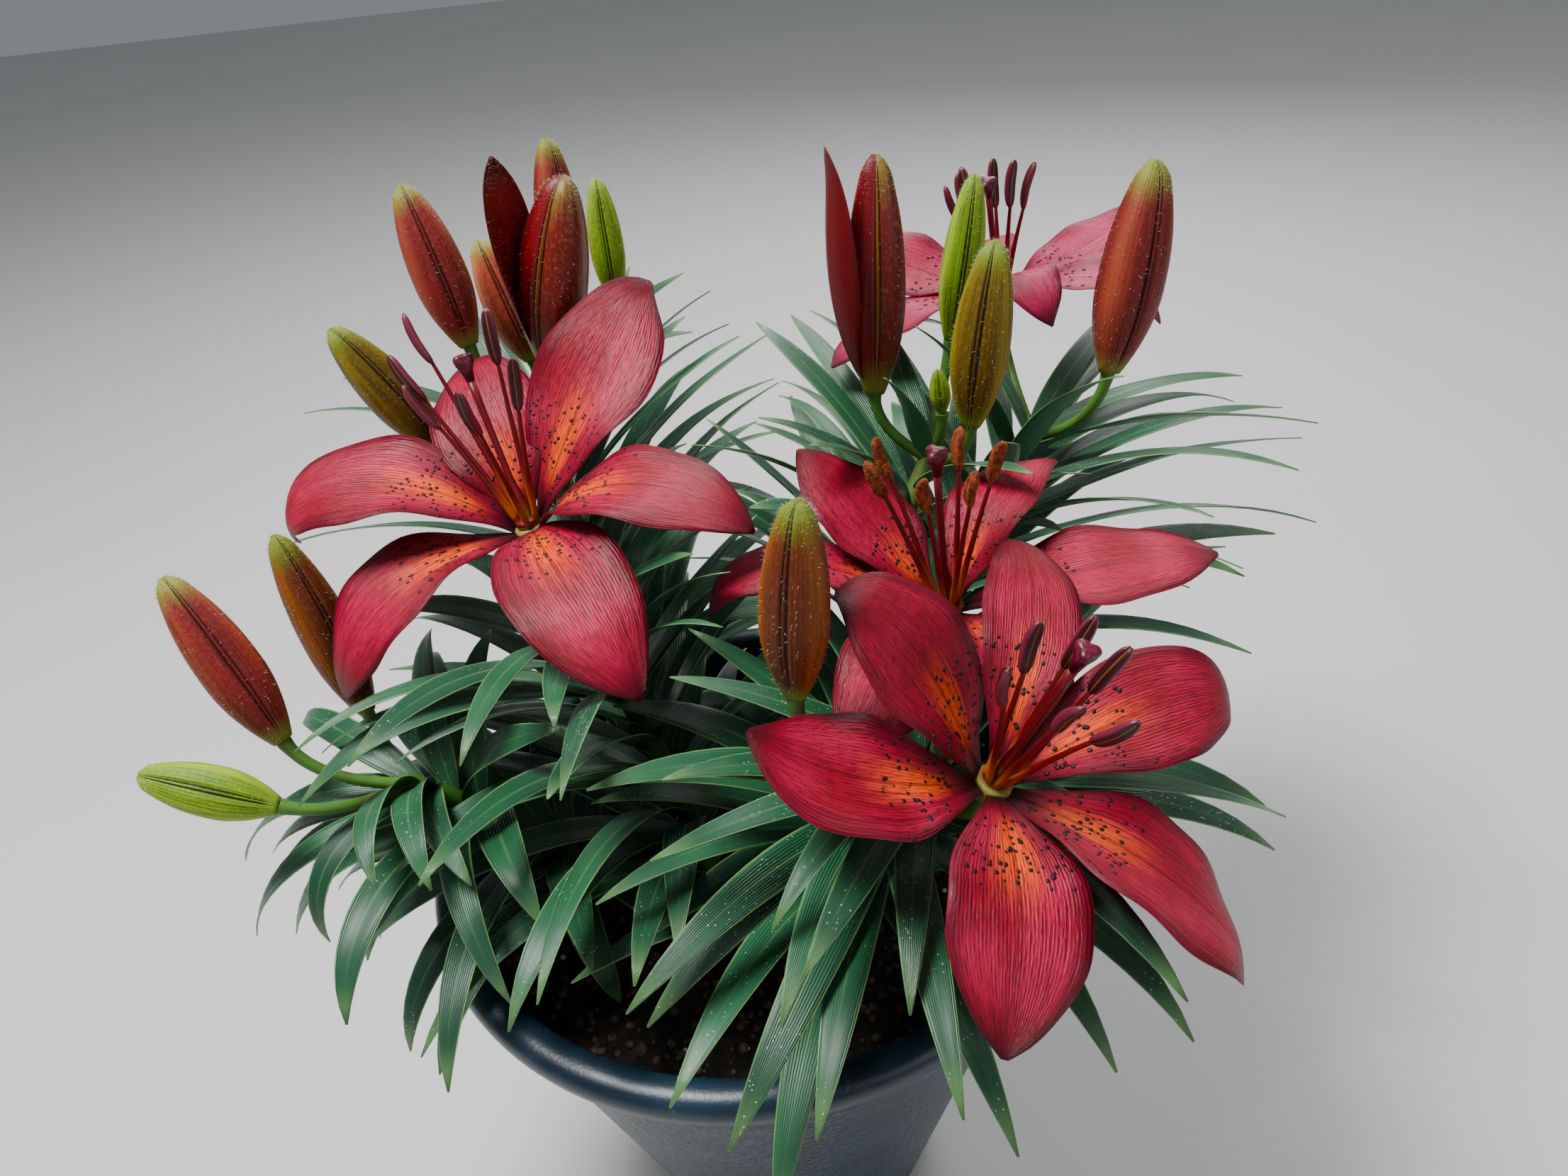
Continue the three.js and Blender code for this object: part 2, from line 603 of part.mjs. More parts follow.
// A leaf's shape by its height on the stem. Leaves that face the middle of the pot are crowded
// by the other stems, so they stand steeper and stay shorter.
function leafBlade(index, count, turn, stem, random) {
  const height = 1 - (index + 0.5) / count;
  const jitter = () => 2 * random() - 1;
  const upper = height ** 3;
  const even = stem.turn + turn + index * goldenAngle + 10 * jitter();
  const azimuth = even - stem.pull * Math.sin((even - stem.lit) * DEG) / DEG;
  const outward = Math.atan2(stem.top[1], stem.top[0]) - azimuth * DEG;
  const inward = Math.max(0, -Math.cos(outward));
  return {
    height,
    azimuth,
    rise: lerp(42, 46, height) - 8 * inward + 9 * jitter(),
    droop: lerp(116, 100, height) - 26 * inward + stem.droop * (1 - inward) + 12 * jitter(),
    length: stem.reach * (lerp(124, 88, upper) + 7 * jitter()) * (1 - 0.25 * inward),
    width: lerp(14.5, 11.5, upper) + 1.2 * jitter(),
    ease: 1.3 + 0.4 * random(),
    sway: 14 * jitter(),
    twist: 26 * jitter(),
  };
}

function growLeaves(crowd) {
  const grown = stems.map(() => []);
  for (const flush of flushes) {
    for (const owner of flush.order) growFlush(crowd, flush, owner, grown[owner]);
  }
  return grown;
}

function growFlush(crowd, flush, owner, grown) {
  const random = seeded(flush.seed + owner);
  const curve = stemCurve(stems[owner]);
  const count = flush.counts[owner];
  for (let index = 0; index < count; index += 1) {
    const leaf = leafBlade(index, count, flush.turn, stems[owner], random);
    const along = lerp(0.05, 0.98, leaf.height);
    const origin = curve.getPoint(along);
    const axis = curve.getTangent(along).lerp(Z, 0.6).normalize();
    for (const [turn, drop, share] of nudges) {
      const blade = { ...leaf, azimuth: leaf.azimuth + turn, droop: leaf.droop + drop,
        length: leaf.length * share, root: leafRoot, cup: 0.03, tipCup: 0.01, widthAt: leafWidth };
      const points = bladeRows(origin, axis, blade, 18, 2).rows.flat();
      const free = points.slice(6);
      if (free.some(hitsPot) || !crowd.isClear(free, owner, 9)) continue;
      crowd.add(points, owner);
      grown.push({ origin, axis, blade });
      break;
    }
  }
}

const barPoints = (curve, radius, steps) => Array.from({ length: steps + 1 }, (_, i) =>
  ringAbout(curve.getPoint(i / steps), curve.getTangent(i / steps), 4, () => radius)).flat();

// Samples of everything that the leaves grow around.
function makeCrowd() {
  const crowd = new Crowd();
  stems.forEach((stem, index) => {
    crowd.add(barPoints(stemCurve(stem), stemTopRadius, 28), index);
    for (const end of pedicelEnds(index)) crowd.add(barPoints(pedicelCurve(stem, end), 1, 12), index);
  });
  for (const bud of [...buds, ...openingBuds]) {
    const start = vec(...bud.base);
    const axis = vec(...bud.tip).sub(start);
    for (let i = 0; i <= 8; i += 1) {
      const centre = start.clone().addScaledVector(axis, i / 8);
      crowd.add(ringAbout(centre, axis, 8, () => bud.width / 2 * budProfile(i / 8)), 'bud');
    }
  }
  for (const { centre, axis, tepals } of Object.values(blooms)) {
    const origin = vec(...centre);
    for (const tepal of tepals) {
      const blade = { lift: tepalLift, ...tepal };
      crowd.add(bladeRows(origin, vec(...axis).normalize(), blade, 16, 8).rows.flat(), 'bloom');
    }
  }
  return crowd;
}

function makeLeafyStem(index, leaves) {
  const stem = stems[index];
  const pedicels = pedicelEnds(index).map((end) =>
    taperedBar(pedicelCurve(stem, end), pedicelRadius * 1.1, pedicelRadius, 4, 3));
  const blades = leaves.map(({ origin, axis, blade }) => {
    const short = blade.length < shortLeaf;
    const rows = short ? leafRows - 1 : leafRows;
    return bladeSolid(origin, axis, { ...blade, spacing: short ? shortSpacing : 1 }, rows, 1);
  });
  return union([makeStemBar(stem), ...pedicels, ...blades]);
}

// The assembly

const plant = new THREE.Group();

function place(name, solid, colour, roughness) {
  const material = new THREE.MeshStandardMaterial({ color: colour, roughness, metalness: 0 });
  const mesh = new THREE.Mesh(geometryOf(solid), material);
  mesh.name = name;
  plant.add(mesh);
}

place('pot', makePot(), potBlue, 0.5);
place('soil', makeSoil(), soilBrown, 0.95);
growLeaves(makeCrowd()).forEach((leaves, index) => {
  place(`leafy_stem_${index + 1}`, makeLeafyStem(index, leaves), leafGreen, 0.5);
});
for (const [letter, bloom] of Object.entries(blooms)) {
  place(`tepals_${letter}`, makeTepals(bloom), tepalRed, 0.55);
  place(`stamens_${letter}`, makeStamens(bloom), filamentRed, 0.5);
  place(`pistil_${letter}`, makePistil(bloom), styleRed, 0.4);
}
openingBuds.forEach((bud, index) => {
  place(`opening_bud_${index + 1}`, makeOpeningBud(bud), tepalRed, 0.55);
});
buds.forEach((bud, index) => {
  place(`bud_${index + 1}`, makeBud(bud), budColours[bud.colour], 0.5);
});

export default plant;
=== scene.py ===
"""Potted asiatic lily: fine leaves, blooms, buds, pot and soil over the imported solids."""

import logging
import math
from dataclasses import dataclass, field, replace
from enum import Enum
from typing import Callable, ClassVar, Optional, Sequence

import bmesh
import bpy
import numpy as np
from mathutils import Matrix, Vector


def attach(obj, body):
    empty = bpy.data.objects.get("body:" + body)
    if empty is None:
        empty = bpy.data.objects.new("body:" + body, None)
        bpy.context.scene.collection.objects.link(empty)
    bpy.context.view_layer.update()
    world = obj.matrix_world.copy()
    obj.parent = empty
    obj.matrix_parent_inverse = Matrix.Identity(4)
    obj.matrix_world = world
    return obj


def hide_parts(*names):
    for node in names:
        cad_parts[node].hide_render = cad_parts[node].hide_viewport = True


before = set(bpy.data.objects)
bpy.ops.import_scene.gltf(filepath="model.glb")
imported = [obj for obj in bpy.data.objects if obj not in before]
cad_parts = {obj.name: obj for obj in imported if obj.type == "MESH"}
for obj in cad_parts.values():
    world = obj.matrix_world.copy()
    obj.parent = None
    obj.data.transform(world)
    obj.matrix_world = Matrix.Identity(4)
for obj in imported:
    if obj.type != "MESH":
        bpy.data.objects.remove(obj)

LOG = logging.getLogger("lily")

Array = np.ndarray
Colour = tuple[float, float, float]

MM = 0.001
DEG = math.pi / 180
X_AXIS = np.array([1.0, 0.0, 0.0])
Z_AXIS = np.array([0.0, 0.0, 1.0])
SPINE_STEPS = 48

# The range from which the phase of a wave is drawn
PHASES = 6.28

# Where the random numbers of each kind of piece start
SPOT_SEED = 20
DOWN_SEED = 90
TEPAL_SEED = 300
STAMEN_SEED = 500
LOOSE_SEED = 700
LEAF_SEED = 900

# Sizes of the pot, the soil and the flowers' bases, in millimetres
RIM_RADIUS = 125.0
RIM_TOP = 206.0
NECK_RADIUS = 116.0
NECK_HEIGHT = 190.0
FOOT_RADIUS = 64.0
FOOT_HEIGHT = 3.0
WALL = 3.4
SOIL_EDGE = 185.5
SOIL_CROWN = 190.0
BOSS_RADIUS = 6.0
BOSS_DEPTH = 9.0
GAP = 0.35
BURIED = 30.0

# The share of a stem's length at which its stalks leave it
STALKS_FROM = 0.97

# Degrees round a bud from a keel to the grooves beside it
KEEL_SEAM = 5.4
FLOWER_SIDES = 24


def vec(*values: float) -> Array:
    """Returns the given numbers as one vector."""
    return np.array(values, float)


def unit(vector: Array) -> Array:
    """Returns a vector, or each row of an array, at unit length."""
    return vector / np.linalg.norm(vector, axis=-1, keepdims=True)


def srgb(red: int, green: int, blue: int) -> Colour:
    """Turns screen values into linear ones.

    Args:
        red: Red, 0 to 255.
        green: Green, 0 to 255.
        blue: Blue, 0 to 255.

    Returns:
        The linear colour.
    """
    return tuple(round(((value / 255 + 0.055) / 1.055) ** 2.4 if value > 10 else value / 3294, 4)
                 for value in (red, green, blue))


class Seeded:
    """A small seeded generator of numbers from 0 to 1."""

    def __init__(self, seed: int) -> None:
        """Starts the generator at a seed."""
        self.state = seed & 0xFFFFFFFF

    def __call__(self) -> float:
        """Returns the next number."""
        self.state = (self.state + 0x6D2B79F5) & 0xFFFFFFFF
        mixed = ((self.state ^ (self.state >> 15)) * (1 | self.state)) & 0xFFFFFFFF
        mixed = ((mixed + ((mixed ^ (mixed >> 7)) * (61 | mixed))) & 0xFFFFFFFF) ^ mixed
        return ((mixed ^ (mixed >> 14)) & 0xFFFFFFFF) / 4294967296

    def either_way(self) -> float:
        """Returns the next number, spread from -1 to 1."""
        return 2 * self() - 1


def frame_of(axis: Array) -> tuple[Array, Array, Array]:
    """Gives an axis and two unit vectors square to it.

    Args:
        axis: The axis, of any length.

    Returns:
        The unit axis, the vector nearest to +X, and the third.
    """
    along = unit(axis)
    first = unit(X_AXIS - along * along[0])
    return along, first, np.cross(along, first)


@dataclass(frozen=True)
class Bend:
    """A smooth curve from a start to an end, pulled towards a middle point."""

    start: Array
    middle: Array
    end: Array

    def point(self, t: float) -> Array:
        """Returns the point at t."""
        return (1 - t) ** 2 * self.start + 2 * (1 - t) * t * self.middle + t * t * self.end

    def tangent(self, t: float) -> Array:
        """Returns the unit direction at t."""
        return unit(self.point(min(1, t + 1e-4)) - self.point(max(0, t - 1e-4)))


def ring_about(centre: Array, axis: Array, sides: int, radius: float, lobes: int = 0,
               swell: float = 0.0) -> Array:
    """Makes a ring of points about an axis.

    Args:
        centre: The ring's middle.
        axis: The direction that the ring faces.
        sides: The number of points.
        radius: Its mean radius.
        lobes: How many lobes it has.
        swell: How far the lobes stand out, as a share of the radius.

    Returns:
        The points, one a row.
    """
    _, first, second = frame_of(axis)
    angle = np.arange(sides) / sides * 2 * math.pi
    reach = radius * (1 + swell * np.cos(lobes * angle))
    return centre + np.outer(np.cos(angle) * reach, first) + np.outer(np.sin(angle) * reach, second)


def link(name: str, data: bpy.types.ID) -> bpy.types.Object:
    """Makes an object of a mesh, a lamp or a camera, and links it to the scene."""
    piece = bpy.data.objects.new(name, data)
    bpy.context.scene.collection.objects.link(piece)
    return piece


def write_numbers(mesh: bpy.types.Mesh, label: str, values: Array) -> None:
    """Writes a number for each point of a mesh."""
    attribute = mesh.attributes.new(label, "FLOAT", "POINT")
    attribute.data.foreach_set("value", np.asarray(values).astype(np.float32))


class Outline(Enum):
    """How a blade's width changes from its root to its tip."""

    TEPAL = "tepal"
    LEAF = "leaf"

    def width(self, t: Array) -> Array:
        """Returns the share of the full width at t."""
        if self is Outline.TEPAL:
            rising = 0.12 + 0.88 * np.sin(np.minimum(t / 0.52, 1) * math.pi / 2) ** 1.4
            return rising * (1 - np.clip((t - 0.54) / 0.46, 0, 1) ** 2) ** 0.78
        rising = np.sin(np.minimum(t / 0.36, 1) * math.pi / 2) ** 0.8
        return rising * (1 - np.clip((t - 0.4) / 0.6, 0, 1) ** 2) ** 0.8


@dataclass(frozen=True)
class Blade:
    """A tepal or a leaf by its angles in degrees and its sizes in millimetres."""

    azimuth: float
    rise: float
    droop: float
    length: float
    width: float
    ease: float = 1.3
    sway: float = 0.0
    twist: float = 0.0
    curl: float = 0.0
    curl_from: float = 0.7
    root: float = 4.0
    lift: float = 0.0
    cup: float = 0.04
    tip_cup: float = -0.02
    outline: Outline = Outline.TEPAL

    def heading(self, t: Array, frame3: tuple[Array, Array, Array]) -> tuple[Array, Array]:
        """Gives the blade's directions along its length.

        Args:
            t: Places along the blade, 0 to 1.
            frame3: The axis and the two vectors square to it.

        Returns:
            The directions in which the blade runs, and its sideways directions.
        """
        along, first, second = frame3
        turn = (self.azimuth + self.sway * t * t) * DEG
        late = np.maximum(0, (t - self.curl_from) / (1 - self.curl_from))
        lean = (self.rise + (self.droop - self.rise) * t ** self.ease + self.curl * late * late) * DEG
        outward = np.outer(np.cos(turn), first) + np.outer(np.sin(turn), second)
        direction = outward * np.sin(lean)[:, None] + np.outer(np.cos(lean), along)
        side = np.outer(-np.sin(turn), first) + np.outer(np.cos(turn), second)
        return direction, side

    def grid(self, origin: Array, axis: Array, rows: int, columns: int,
             least: float = 0.0) -> tuple[Array, Array]:
        """Lays the blade's middle surface.

        Args:
            origin: The point on the axis that the blade leaves from.
            axis: The stem's or flower's axis.
            rows: The number of rows along the blade.
            columns: The number of columns across it.
            least: The least share of the full width, at the root and the tip.

        Returns:
            The points and the normals, each as rows by columns by 3.
        """
        frame3 = frame_of(axis)
        along, first, second = frame3
        start = self.azimuth * DEG
        foot = origin + (math.cos(start) * first + math.sin(start) * second) * self.root
        foot = foot + along * self.lift
        steps, _ = self.heading((np.arange(SPINE_STEPS) + 0.5) / SPINE_STEPS, frame3)
        spine = np.vstack([foot, foot + np.cumsum(steps * (self.length / SPINE_STEPS), axis=0)])
        t = np.arange(rows + 1) / rows
        place = t * SPINE_STEPS
        whole = np.minimum(np.floor(place).astype(int), SPINE_STEPS - 1)
        part = (place - whole)[:, None]
        centre = spine[whole] * (1 - part) + spine[whole + 1] * part
        direction, side = self.heading(t, frame3)
        up = np.cross(direction, side)
        turned = (self.twist * t * DEG)[:, None]
        across = side * np.cos(turned) + up * np.sin(turned)
        normal = up * np.cos(turned) - side * np.sin(turned)
        half = self.width / 2 * self.outline.width(t)
        half[-1] = 0
        half = np.maximum(half, least * self.width / 2)
        bend = self.cup + (self.tip_cup - self.cup) * t
        bend = np.where(np.abs(bend) < 1e-4, 1e-4, bend)[:, None]
        reach = half[:, None] * (2 * np.arange(columns + 1) / columns - 1)[None, :]
        wide = (np.sin(bend * reach) / bend)[..., None]
        high = ((1 - np.cos(bend * reach)) / bend)[..., None]
        tilt = (bend * reach)[..., None]
        points = centre[:, None] + across[:, None] * wide + normal[:, None] * high
        normals = normal[:, None] * np.cos(tilt) - across[:, None] * np.sin(tilt)
        return points, normals


# The plant's plan, in millimetres and degrees


@dataclass(frozen=True)
class Stem:
    """One shoot: its foot in the soil, its top, and how its leaves stand.

    Attributes:
        foot: X and Y of its foot on the soil.
        top: The point where its stalks begin.
        turn: The azimuth of its top leaf, in degrees.
        droop: How much further than usual its leaves bend down, in degrees.
        reach: The length of its leaves as a share of the usual.
        lit: The azimuth that its leaves turn to, in degrees.
        pull: How strongly they turn to it, from 0 to 1.
    """

    foot: tuple[float, float]
    top: tuple[float, float, float]
    turn: float
    droop: float
    reach: float
    lit: float
    pull: float

    def curve(self) -> Bend:
        """Returns the stem's middle line above the soil."""
        x, y = self.foot
        end = vec(*self.top)
        middle = vec(x + (end[0] - x) * 0.25, y + (end[1] - y) * 0.25,
                     SOIL_CROWN + (end[2] - SOIL_CROWN) * 0.55)
        return Bend(vec(x, y, SOIL_CROWN), middle, end)


STEMS = (
    Stem((-40, 50), (-72, 105, 335), 20, -18, 1.06, 20, 0.75),
    Stem((-64, -15), (-116, -26, 266), 75, 36, 0.86, -75, 0.5),
    Stem((34, 22), (84, 62, 325), 140, -18, 1.08, 150, 0.3),
    Stem((58, 46), (132, 90, 314), 10, -14, 1.2, 5, 0.5),
    Stem((40, -35), (64, -54, 270), 220, 14, 1.17, -128, 0.75),
    Stem((-16, -22), (-50, 12, 292), 310, 10, 1.12, -75, 0.65),
)
STEM_FOOT_RADIUS = 4.6
STEM_TOP_RADIUS = 3.4
PEDICEL_RADIUS = 2.1
GOLDEN_ANGLE = 137.5
LEAF_CLEARANCE = 4.2
LEAF_SPACING = 3.2
POT_CLEARANCE = 4.0
MOUTH_RADIUS = 110.0
LEAF_FOOT = 6
OWN_STEM = 9


@dataclass(frozen=True)
class Flush:
    """A round of growth: the leaves tried on each stem, and the order of the stems."""

    counts: tuple[int, ...]
    order: tuple[int, ...]
    seed: int
    turn: float


FLUSHES = (
    Flush((42, 42, 42, 42, 42, 42), (4, 5, 3, 1, 0, 2), 101, 0),
    Flush((12, 60, 16, 8, 6, 36), (1, 5, 3, 0, 2, 4), 201, 70),
)
NUDGES = (
    (0, 0, 1), (9, 0, 1), (-9, 0, 1), (0, -14, 1), (0, 14, 1), (17, -8, 0.96), (-17, 8, 0.96),
    (0, -26, 0.92), (25, 6, 0.9), (-25, -6, 0.9), (12, 26, 0.85), (-12, -34, 0.8),
    (34, 0, 0.8), (-34, 0, 0.8),
)


def tepal(azimuth: float, rise: float, droop: float, length: float, width: float,
          **more: float) -> Blade:
    """Makes one tepal of an open bloom, with its claw inside the flower's base."""
    return Blade(azimuth, rise, droop, length, width, lift=-2, **more)


@dataclass(frozen=True)
class BloomPlan:
    """One open bloom.

    Attributes:
        letter: Its name.
        centre: The point that its tepals spread from.
        axis: The way that it faces.
        stem: The place of its stem in the list.
        tepals: Its six tepals.
        stamens: The azimuth, the lean and the length of each stamen.
        pistil: The same three of its pistil.
        anther: The length of its anthers.
    """

    letter: str
    centre: tuple[float, float, float]
    axis: tuple[float, float, float]
    stem: int
    tepals: tuple[Blade, ...]
    stamens: tuple[tuple[float, float, float], ...]
    pistil: tuple[float, float, float]
    anther: float = 19.5

    @property
    def middle(self) -> Array:
        """Returns the flower's middle as a vector."""
        return vec(*self.centre)

    @property
    def along(self) -> Array:
        """Returns the flower's axis at unit length."""
        return unit(vec(*self.axis))


BLOOMS = (
    BloomPlan(
        "a", (-65, 29, 330), (-0.2, 0.05, 0.97), 5,
        (
            tepal(32, 34, 61, 97, 47, ease=0.6, sway=12, twist=50, curl=40, curl_from=0.8),
            tepal(-30, 50, 143, 97, 38, ease=1.15, sway=13, twist=11, curl=10),
            tepal(-71, 56, 147, 100, 42, ease=0.8, sway=16, twist=-10, curl=10),
            tepal(-149, 72, 165, 92, 44, ease=1.7, sway=-10, twist=-20),
            tepal(171, 39, 128, 103, 46, ease=1.5, sway=15, twist=-22, curl=90, curl_from=0.74),
            tepal(104, 30, 74, 78, 42, sway=-6, twist=-10, curl=30),
        ),
        ((124, 19, 74), (152, 21, 65), (166, 20, 55), (35, 15, 68), (-15, 21, 56), (-77, 20, 55)),
        (90, 12, 62),
    ),
    BloomPlan(
        "b", (76, -89, 298), (0.36, -0.12, 0.92), 4,
        (
            tepal(196, 82, 77, 76, 45, ease=1.5, sway=-40, twist=3),
            tepal(152, 42, 80, 74, 44, ease=2, sway=8, twist=-19, curl=45, curl_from=0.75),
            tepal(77, 22, 102, 87, 31, ease=0.9, sway=17, twist=-8, curl=20),
            tepal(18, 48, 116, 90, 36, ease=1.65, sway=3, twist=33, curl=45, curl_from=0.75),
            tepal(-41, 70, 131, 86, 46, ease=1.8, sway=5, twist=-17, curl=50, curl_from=0.8),
            tepal(-95, 70, 134, 78, 42, ease=1.1, sway=-4, twist=-4),
        ),
        ((-172, 15, 56), (-148, 28, 56), (60, 6, 54), (-40, 11, 56), (-107, 26, 56), (-76, 27, 56)),
        (-112, 9, 63),
    ),
    BloomPlan(
        "c", (75, -16, 308), (-0.03, 0.05, 1), 4,
        (
            tepal(134, 44, 58, 72, 37, ease=1.6, sway=3, twist=2, curl=10),
            tepal(45, 34, 132, 74, 34, ease=1.9, sway=4, twist=-20),
            tepal(-10, 68, 95, 84, 43, ease=1.5, sway=2, twist=6),
            tepal(-62, 82, 165, 62, 34),
            tepal(-116, 54, 128, 78, 38, ease=0.9, sway=-18),
            tepal(175, 54, 158, 90, 31, ease=2.3, sway=7, twist=-3, curl=20),
        ),
        ((-170, 22, 56), (150, 20, 56), (-110, 22, 56), (20, 9, 56), (-68, 22, 56), (-15, 20, 56)),
        (-100, 10, 63),
        15,
    ),
    BloomPlan(
        "d", (123, 130, 356), (-0.1, 0.02, 0.99), 3,
        (
            tepal(160, 61, 74, 64, 35, ease=1.55, sway=-13, twist=-40),
            tepal(207, 70, 118, 82, 33, ease=1.5, sway=4, twist=8),
            tepal(-88, 37, 172, 62, 31, ease=1.7, sway=34, twist=-13),
            tepal(-21, 73, 170, 70, 30, ease=2, sway=-7),
            tepal(24, 82, 78, 79, 31, ease=1.3, sway=8, twist=16),
            tepal(90, 58, 150, 72, 34),
        ),
        ((-150, 24, 46), (-165, 15, 45), (-50, 16, 48), (-20, 22, 46), (60, 12, 44), (140, 14, 44)),
        (-100, 12, 50),
    ),
)


class Tint(Enum):
    """The colours that buds have."""

    RED = "red"
    PINK = "pink"
    BROWN = "brown"
    OLIVE = "olive"
    GREEN = "green"


@dataclass(frozen=True)
class BudPlan:
    """A bud from its base to its tip."""

    base: tuple[float, float, float]
    tip: tuple[float, float, float]
    width: float
    stem: int
    tint: Tint
    turn: float = 0.0

    @property
    def start(self) -> Array:
        """Returns the bud's base as a vector."""
        return vec(*self.base)

    @property
    def axis(self) -> Array:
        """Returns the way from the base to the tip."""
        return vec(*self.tip) - vec(*self.base)


BUDS = (
    BudPlan((-87, 98, 371), (-100, 112, 429), 22, 0, Tint.RED, -10),
    BudPlan((-70, 124, 352), (-82, 132, 400), 20, 0, Tint.PINK, -16),
    BudPlan((-52, 135, 374), (-50, 145, 432), 19, 0, Tint.RED, 13),
    BudPlan((-31, 116, 376), (-31, 123, 421), 14, 0, Tint.GREEN, -24),
    BudPlan((-102, 72, 344), (-126, 69, 394), 20, 0, Tint.OLIVE, 18),
    BudPlan((-136, 10, 270), (-150, 22, 341), 20, 1, Tint.BROWN, 17),
    BudPlan((-150, -26, 290), (-176, -6, 346), 21, 1, Tint.RED, 8),
    BudPlan((-148, -48, 281), (-188, -45, 298), 18, 1, Tint.GREEN, 8),
    BudPlan((22, -75, 326), (28, -73, 388), 21, 4, Tint.BROWN, -59),
    BudPlan((95, 84, 358), (105, 88, 417), 16, 2, Tint.GREEN, -33),
    BudPlan((93, 34, 347), (102, 38, 410), 21, 2, Tint.OLIVE, -54),
    BudPlan((86, 52, 344), (85, 54, 360), 8, 2, Tint.GREEN, -38),
    BudPlan((148, 58, 350), (161, 64, 422), 25, 3, Tint.RED, -13),
)

# One outer tepal of each opening bud has come away.
OPENING_BUDS = (
    BudPlan((-58, 98, 360), (-39, 95, 430), 28, 0, Tint.RED, -62),
    BudPlan((63, 62, 350), (68, 68, 433), 22, 2, Tint.RED, -31),
)
LOOSE_TEPALS = (
    Blade(180, 44, 2, 78, 28, ease=0.5, twist=-45, curl=12, root=2.2, lift=2, cup=0.07, tip_cup=0.06),
    Blade(195, 44, -10, 88, 27, ease=0.5, curl=24, root=2.2, lift=2, cup=0.07, tip_cup=0.06),
)


def bud_profile(t: Array) -> Array:
    """Returns the share of a bud's full radius at t, from base to tip."""
    swelling = 0.34 + 0.66 * np.sin(np.minimum(t / 0.42, 1) * math.pi / 2) ** 0.9
    return swelling * (1 - 0.68 * np.clip((t - 0.42) / 0.58, 0, 1) ** 2.3)


def pot_radius(height: float) -> float:
    """Returns the outer radius of the pot's wall at a height."""
    rise = (NECK_RADIUS - FOOT_RADIUS) * (height - FOOT_HEIGHT) / (NECK_HEIGHT - FOOT_HEIGHT)
    return FOOT_RADIUS + rise


def pedicel_curves(stem: int) -> list[Bend]:
    """Lays a stem's flower stalks.

    Args:
        stem: The stem's place in the list.

    Returns:
        A curve for each bud and bloom that the stem carries.
    """
    ends = []
    for bud in (*BUDS, *OPENING_BUDS):
        if bud.stem == stem:
            ends.append((bud.start, unit(bud.axis)))
    for bloom in BLOOMS:
        if bloom.stem == stem:
            ends.append((bloom.middle - bloom.along * BOSS_DEPTH, bloom.along))
    top = vec(*STEMS[stem].top)
    start = STEMS[stem].curve().point(STALKS_FROM)
    curves = []
    for end, direction in ends:
        reach = np.linalg.norm(end - top)
        curves.append(Bend(start, end - direction * 0.45 * reach, end - direction * GAP))
    return curves


class Crowd:
    """Points that the leaves keep clear of, each with its owner."""

    def __init__(self) -> None:
        """Starts with every stem, stalk, bud and tepal."""
        self.points = np.zeros((0, 3))
        self.owners = np.zeros(0, int)
        for index, stem in enumerate(STEMS):
            self.add_bar(stem.curve(), STEM_TOP_RADIUS, 28, index)
            for curve in pedicel_curves(index):
                self.add_bar(curve, 1, 12, index)
        for bud in (*BUDS, *OPENING_BUDS):
            for i in range(9):
                radius = bud.width / 2 * float(bud_profile(np.array(i / 8)))
                self.add(ring_about(bud.start + bud.axis * i / 8, bud.axis, 8, radius), -1)
        for bloom in BLOOMS:
            for blade in bloom.tepals:
                points, _ = blade.grid(bloom.middle, vec(*bloom.axis), 16, 8)
                self.add(points.reshape(-1, 3), -2)

    def add(self, points: Array, owner: int) -> None:
        """Adds points of one owner."""
        self.points = np.vstack([self.points, points])
        self.owners = np.append(self.owners, np.full(len(points), owner))

    def add_bar(self, curve: Bend, radius: float, steps: int, owner: int) -> None:
        """Adds rings of points along a curve."""
        for i in range(steps + 1):
            self.add(ring_about(curve.point(i / steps), curve.tangent(i / steps), 4, radius), owner)

    def is_clear(self, points: Array, owner: int, foot: int) -> bool:
        """Tells whether points keep clear of all others.

        Args:
            points: The points to test, from the foot of a leaf outwards.
            owner: Their owner.
            foot: How many of the first points may lie near their own stem.

        Returns:
            True where nothing is too near.
        """
        low, high = points.min(0) - LEAF_CLEARANCE, points.max(0) + LEAF_CLEARANCE
        near = np.all((self.points >= low) & (self.points <= high), axis=1)
        others, owners = self.points[near], self.owners[near]
        if not len(others):
            return True
        distance = np.linalg.norm(points[:, None] - others[None], axis=2)
        own = (owners == owner)[None, :]
        free = np.arange(len(points))[:, None] < foot
        bad = np.where(own, (distance <= LEAF_SPACING) & ~free, distance <= LEAF_CLEARANCE)
        return not bad.any()


def hits_pot(points: Array) -> bool:
    """Tells whether any point comes too near to the pot or the soil."""
    radius = np.hypot(points[:, 0], points[:, 1])
    height = points[:, 2]
    low = height <= RIM_TOP + POT_CLEARANCE
    wall = np.where(height > NECK_HEIGHT, RIM_RADIUS, pot_radius(height))
    near = np.where(radius < MOUTH_RADIUS, height < SOIL_CROWN + POT_CLEARANCE,
                    radius < wall + POT_CLEARANCE)
    return bool(np.any(low & near))


@dataclass(frozen=True)
class Leaf:
    """A grown leaf: where it leaves its stem, and its blade."""

    origin: Array
    axis: Array
    blade: Blade


